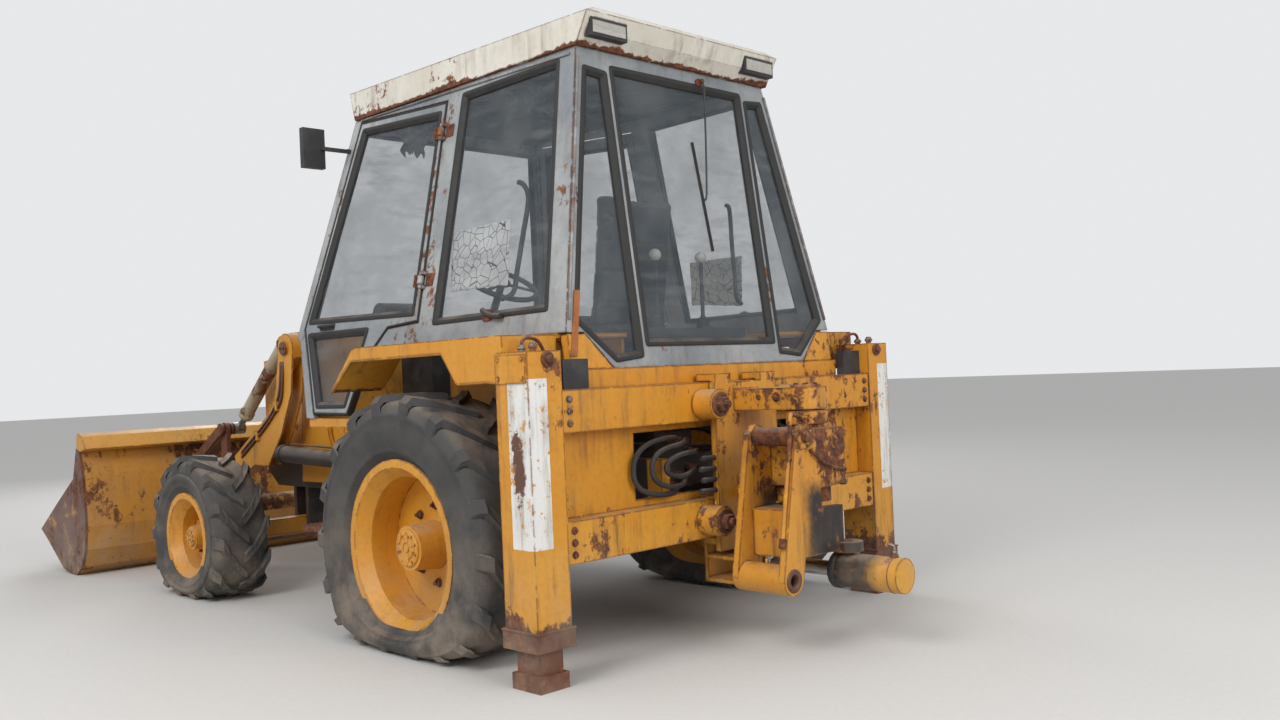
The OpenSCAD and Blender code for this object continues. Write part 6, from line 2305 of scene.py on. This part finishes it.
@dataclass
class LoaderDress:
    """Pin caps, pipes and gland rings on the loader."""

    arm_x: float = 1.880
    arm_z: float = 1.365
    bucket_x: float = 3.372
    bucket_z: float = 0.205
    lever_k: tuple[float, float] = (2.760, 0.560)
    lever_l: tuple[float, float] = (2.751, 0.900)
    tilt: tuple[float, float] = (2.116, 1.406)
    lift: tuple[float, float] = (1.265, 0.735)
    lift_eye: tuple[float, float] = (2.248, 0.767)

    def cap(self, name: str, side: Side, x: float, z: float, y: float, radius: float, body: str,
            thin: bool = False) -> None:
        """Make a pin's cap: a keeper plate, a bolt and a grease nipple.

        Args:
            name: The piece's name.
            side: The machine's side.
            x: The pin's place.
            z: The pin's height.
            y: The pin's end.
            radius: The pin's radius.
            body: The body that it rides on.
            thin: Make only a thin domed washer, where another part passes close by.
        """
        way = Vector((0, side.value, 0))
        foot = across(side, x, y + 0.0002, z)
        if thin:
            washer = turned([(0, 0), (radius * 0.95, 0), (radius * 0.95, 0.0008), (radius * 0.6, 0.0018),
                             (0, 0.002)], foot, way, 28)
            make(f"{name}_{side.word}", washer, Finish.RUSTY, body, smooth=True)
            return
        disc = turned([(0, 0), (radius * 1.12, 0), (radius * 1.12, 0.004), (radius, 0.007),
                       (radius * 0.4, 0.008), (0, 0.008)], foot, way, 28)
        head = rod(across(side, x - radius * 0.55, y + 0.007, z),
                   across(side, x - radius * 0.55, y + 0.015, z), 0.008, 6)
        nipple = rod(across(side, x + radius * 0.3, y + 0.007, z),
                     across(side, x + radius * 0.3, y + 0.020, z), 0.0045, 8)
        make(f"{name}_{side.word}", merged(disc, head, nipple), Finish.RUSTY, body, bevel=0.0008)

    def gland(self, name: str, side: Side, start: tuple[float, float], end: tuple[float, float], y: float,
              t: float, radius: float, body: str, finish: Finish) -> None:
        """Make the ring at the mouth of a ram and the pipe along its barrel.

        Args:
            name: The piece's name.
            side: The machine's side.
            start: The ram's foot in X and Z.
            end: Its eye.
            y: Its distance from the middle.
            t: Where the mouth lies, from 0 at the foot to 1 at the eye.
            radius: The barrel's radius.
            body: The body that it rides on.
            finish: The finish.
        """
        a, b = Vector(across(side, start[0], y, start[1])), Vector(across(side, end[0], y, end[1]))
        way = (b - a).normalized()
        mouth = a.lerp(b, t)
        profile = [(radius - 0.002, -0.040), (radius + 0.006, -0.038), (radius + 0.006, -0.004),
                   (radius + 0.003, -0.0005), (radius - 0.002, -0.0005), (radius - 0.002, -0.040)]
        ring = turned(profile, tuple(mouth), way, 36)
        lift = way.cross(Vector((0, 1, 0)))
        lift = lift if lift.z > 0 else -lift
        line = [a.lerp(b, t * k) + lift * (radius + gap)
                for k, gap in ((0.16, -0.004), (0.17, 0.010), (0.20, 0.013), (0.5, 0.013), (0.80, 0.013),
                               (0.86, 0.010), (0.90, -0.004))]
        pipe = tube(smooth_path([tuple(p) for p in line], 4), 0.0055, 8)
        make(f"{name}_{side.word}", merged(ring, pipe), finish, body, smooth=True)

    def pipes(self, side: Side) -> None:
        """Make the pair of steel pipes down the outside of an arm.

        Args:
            side: The arm's side.
        """
        shapes = []
        for k in range(2):
            d = 0.026 * k
            route = [(1.935 - d, 1.275), (1.935 - d, 1.180), (1.965 - d, 1.090 - d), (2.050, 1.000 - d),
                     (2.150, 0.932 - d), (2.300, 0.846 - d), (2.420, 0.780 - d), (2.450, 0.764 - d)]
            path = [across(side, x, 0.6085, z) for x, z in route]
            path[0], path[-1] = across(side, route[0][0], 0.599, 1.290), across(side, 2.462, 0.599, 0.758 - d)
            shapes.append(tube(smooth_path(path, 4), 0.0075, 10))
        make(f"arm_pipes_{side.word}", merged(*shapes), Finish.RUSTY, "arms", smooth=True)
        clips = [block(tuple(min(a, b) for a, b in zip(p, q)), tuple(max(a, b) for a, b in zip(p, q)))
                 for x, z in ((1.985, 1.046), (2.232, 0.872))
                 for p, q in [(across(side, x - 0.012, 0.6002, z - 0.036),
                               across(side, x + 0.012, 0.6185, z + 0.024))]]
        make(f"arm_clips_{side.word}", merged(*clips), Finish.ARMS, "arms", bevel=0.003)

    def build(self) -> None:
        """Dress the loader."""
        for side in Side:
            self.cap("arm_pivot_cap", side, self.arm_x, self.arm_z, 0.612, 0.035, "chassis")
            self.cap("bucket_pin_cap", side, self.bucket_x, self.bucket_z, 0.626, 0.028, "bucket")
            self.cap("lever_pin_cap", side, *self.lever_k, 0.600, 0.026, "arms")
            self.cap("tilt_pin_cap", side, *self.tilt, 0.517, 0.022, "chassis", thin=True)
            self.cap("lift_pin_cap", side, *self.lift, 0.604, 0.026, "chassis")
            self.gland("tilt_gland", side, self.tilt, self.lever_l, 0.472, 0.85, 0.040, "tilt_barrels",
                       Finish.TILT)
            self.gland("lift_gland", side, self.lift, self.lift_eye, 0.560, 0.78, 0.048, "lift_barrels",
                       Finish.RAM)
            self.pipes(side)
            LOG.info("loader's %s side dressed", side.word)


@dataclass
class NoseDress:
    """Lamps, radiator fins, louvres and latches, tank caps and straps, and the steps' treads."""

    nose_x: float = 2.540
    lamp_y: float = 0.255
    lamp_z: float = 1.180
    lens_r: float = 0.0615
    latches_x: tuple[float, float] = (1.450, 2.080)
    louvres_x: tuple[float, float] = (1.640, 1.900)
    straps_x: tuple[float, float] = (0.790, 1.010)
    tank_z: tuple[float, float] = (0.480, 0.800)
    fins: int = 44
    fin_pitch: float = 0.0155
    treads_n: int = 7
    tread_pitch: float = 0.025

    def lamps(self) -> None:
        """Make the head lamps and the glass of the lamps in the roof."""
        for side in Side:
            word, s = side.word, side.value
            r = self.lens_r
            spot, ahead = at(self.nose_x, s * self.lamp_y, self.lamp_z), AHEAD
            lens = turned([(0, 0.0115), (r, 0.0115), (r, 0.0145), (r * 0.8, 0.0172), (r * 0.4, 0.0188),
                           (0, 0.0192)], spot, ahead, 40)
            make(f"head_lamp_glass_{word}", lens, Finish.LAMP, smooth=True)
            bezel = turned([(r + 0.0004, 0.0003), (r + 0.012, 0.0003), (r + 0.012, 0.011), (r + 0.008, 0.017),
                            (r + 0.002, 0.018), (r + 0.0004, 0.015), (r + 0.0004, 0.0003)], spot, ahead, 40)
            make(f"head_lamp_bezel_{word}", bezel, Finish.BLACK, smooth=True)
            dish = turned([(0, 0.0005), (r, 0.0005), (r, 0.011), (r * 0.93, 0.010), (r * 0.6, 0.0045),
                           (r * 0.25, 0.0018), (r * 0.14, 0.0018), (r * 0.12, 0.009), (0, 0.010)], spot,
                          ahead, 40)
            make(f"head_lamp_dish_{word}", dish, Finish.MIRROR, smooth=True)
            for label, x0, x1, y in (("rear", -0.7662, -0.7602, 0.490), ("front", 1.0202, 1.0262, 0.460)):
                low = at(x0, s * y - 0.0925, 2.5405)
                high = at(x1, s * y + 0.0925, 2.5905)
                ribs = [block(at(x0 if label == "rear" else x1 - 0.0015, s * y - 0.086 + 0.0144 * k, 2.543),
                              at(x0 + 0.0015 if label == "rear" else x1, s * y - 0.080 + 0.0144 * k, 2.588))
                        for k in range(12)]
                inner = block((low[0] + (0.0012 if label == "rear" else 0), low[1], low[2]),
                              (high[0] - (0.0012 if label == "front" else 0), high[1], high[2]))
                make(f"roof_lamp_glass_{label}_{word}", merged(inner, *ribs), Finish.LAMP, bevel=0.0005)

    def radiator(self) -> None:
        """Make the radiator's core behind the grille, with its fins."""
        core = block(at(2.440, -0.345, 0.800), at(2.470, 0.345, 1.260))
        make("radiator_core", core, Finish.BLACK, bevel=0.004)
        fin = mesh_of("fin", *block((0, -0.0012, 0), (0.014, 0.0012, 0.440)))
        fins = Repeats.mesh("radiator_fins", fin, self.fins, Finish.BOLT, at(2.4695, -0.334, 0.810),
                            shift=(0, self.fin_pitch, 0))
        finish_piece("radiator_fins", fins, Finish.BOLT)

    def latches(self) -> None:
        """Make the bonnet's latches and the tanks' caps and straps."""
        for side in Side:
            word, s = side.word, side.value
            shapes = []
            for x in self.latches_x:
                y0, y1 = sorted((s * 0.3951, s * 0.400))
                shapes += [block(at(x - 0.022, y0, 1.050), at(x + 0.022, y1, 1.120)),
                           tube([across(side, x, 0.4025, z) for z in (1.058, 1.072, 1.100, 1.112)], 0.0026,
                                8)]
            make(f"bonnet_latches_{word}", merged(*shapes), Finish.BLACK, bevel=0.0015)
            rib = mesh_of("rib", *block((-0.004, 0.044, 0.0), (0.004, 0.0495, 0.024)))
            centre = across(side, 0.820, 0.690, 0.8003)
            ribs = Repeats.mesh(f"tank_cap_ribs_{word}", rib, 18, Finish.BLACK, centre, (0, 0, math.pi / 9))
            finish_piece(f"tank_cap_ribs_{word}", ribs, Finish.BLACK)
            cap = turned([(0.0, 0.0), (0.047, 0.0), (0.047, 0.022), (0.042, 0.029), (0.0, 0.031)], centre,
                         UP, 36)
            make(f"tank_cap_{word}", cap, Finish.BLACK, bevel=0.001)
            straps = [tank_strap(side, x, *self.tank_z) for x in self.straps_x]
            make(f"tank_straps_{word}", merged(*straps), Finish.RUSTY, bevel=0.001)

    def louvres(self) -> None:
        """Make the two rows of pressed louvres in each side of the bonnet."""
        out, run, wide = 0.0085, 0.026, 0.085
        points = [(x, y, z) for x, k in ((-wide / 2, 0.75), (-wide / 2 + 0.010, 1.0),
                                         (wide / 2 - 0.010, 1.0), (wide / 2, 0.75))
                  for y, z in ((0.0, 0.0), (out * k, 0.0), (out * k * 0.92, 0.006), (0.0, run))]
        faces = [(0, 1, 2, 3), (12, 13, 14, 15)]
        faces += grid_faces(4, 4, around=False)
        for side in Side:
            shapes = []
            for x in self.louvres_x:
                flat = [(px, py * side.value, pz) for px, py, pz in points]
                name = f"bonnet_louvres_{side.word}"
                one = mesh_of("louvre", flat, faces)
                shapes.append(Repeats.mesh(name, one, 6, Finish.BODY, across(side, x, 0.3952, 0.930),
                                           shift=(0, 0, 0.042)))
            bevelled(finish_piece(name, joined(*shapes), Finish.BODY), 0.0012)

    def treads(self) -> None:
        """Make the bars across the steps."""
        for side in Side:
            bar = mesh_of("bar", *block((-0.190, -0.0035, 0.0), (0.190, 0.0035, 0.006)))
            name = f"step_treads_{side.word}"
            mesh = Repeats.mesh(name, bar, self.treads_n, Finish.RUSTY, across(side, 0.900, 0.795, 0.4551),
                                shift=(0, self.tread_pitch * side.value, 0))
            bevelled(finish_piece(name, mesh, Finish.RUSTY), 0.001)

    def build(self) -> None:
        """Dress the nose, the bonnet, the tanks and the steps."""
        self.lamps()
        self.radiator()
        self.latches()
        self.louvres()
        self.treads()


def tank_strap(side: Side, x: float, low: float, high: float) -> Shape:
    """Make a strap that goes over the top, the outside and the foot of a tank.

    Args:
        side: The tank's side.
        x: The strap's place.
        low: The strap's foot.
        high: Its top.

    Returns:
        The points and faces.
    """
    line = [(0.385, low - 0.0002), (0.7790, low - 0.0002), (0.7802, low + 0.001), (0.7802, high - 0.001),
            (0.7790, high + 0.0002), (0.385, high + 0.0002)]
    points: list[Point] = []
    for i, (y, z) in enumerate(line):
        a, b = line[max(i - 1, 0)], line[min(i + 1, len(line) - 1)]
        along = Vector((b[0] - a[0], b[1] - a[1])).normalized()
        out = Vector((along.y, -along.x)) * 0.003
        points += [across(side, x + dx, y + o * out.x, z + o * out.y) for dx in (-0.016, 0.016)
                   for o in (0, 1)]
    faces = [(0, 1, 3, 2)]
    for i in range(len(line) - 1):
        a, b = 4 * i, 4 * i + 4
        faces += [(a, b, b + 1, a + 1), (a + 1, b + 1, b + 3, a + 3), (a + 3, b + 3, b + 2, a + 2),
                  (a + 2, b + 2, b, a)]
    last = 4 * (len(line) - 1)
    return points, [*faces, (last, last + 2, last + 3, last + 1)]


@dataclass
class BucketDress:
    """The beam along the bucket's top edge and the bolts along its cutting edge."""

    count: int = 11
    half: float = 1.180
    bolts_w: float = 2.16
    lip: tuple[tuple[float, float], ...] = ((3.505, 0.792), (3.545, 0.810), (3.530, 0.905), (3.516, 0.908),
                                            (3.449, 0.889), (3.389, 0.808), (3.440, 0.800), (3.475, 0.790))

    def beam(self) -> None:
        """Make the folded beam along the bucket's top edge."""
        count = len(self.lip)
        rows = (-self.half, -self.half + 0.02, self.half - 0.02, self.half)
        points = [at(x, y, z) for y in rows for x, z in self.lip]
        faces = [tuple(range(count)), tuple(range(3 * count, 4 * count))]
        faces += grid_faces(len(rows), count, around=False)
        make("bucket_beam", (points, faces), Finish.BEAM, "bucket", bevel=0.006)

    def build(self) -> None:
        """Make the beam and the row of bolts."""
        self.beam()
        head = turned([(0, 0), (0.020, 0), (0.018, 0.006), (0.010, 0.010), (0, 0.011)], (0, 0, 0),
                      Vector((-0.506, 0, 0.863)), 14)
        pitch = self.bolts_w / self.count
        mesh = Repeats.mesh("edge_bolts", mesh_of("edge_bolt", *head), self.count, Finish.BOLT,
                            at(4.085, -pitch * (self.count - 1) / 2, 0.1860), shift=(0, pitch, 0))
        finish_piece("edge_bolts", mesh, Finish.BOLT, "bucket")


@dataclass
class FenderDress:
    """The rolled edge of each fender."""

    edge_y: float = 1.1235

    def build(self) -> None:
        """Make both edges."""
        for side in Side:
            line = [(0.470, 1.112), (0.298, 1.2455), (0.285, 1.2465), (-0.372, 1.2505), (-0.382, 1.249),
                    (-0.474, 1.130), (-0.482, 1.1275), (-0.668, 1.1315), (-0.768, 1.1215)]
            path = [across(side, x, self.edge_y, z) for x, z in line]
            make(f"fender_edge_{side.word}", tube(path, 0.0062, 8), Finish.BODY, smooth=True)


def main() -> None:
    """Build the whole scene in order."""
    logging.basicConfig(level=logging.INFO, format="%(name)s: %(message)s")
    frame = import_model()
    Studio().build()
    BackHoses().build()
    coat_nodes(frame["nodes"])
    for wheel in all_wheels():
        wheel.build()
    for dress in (CabTrim(), Cabin(), BackDress(), CarriageDress(), KingpostDress(), SlewRamDress(),
                  LoaderDress(), NoseDress(), BucketDress(), FenderDress()):
        LOG.info("making %s", type(dress).__name__)
        dress.build()


if __name__ == "__main__":
    main()
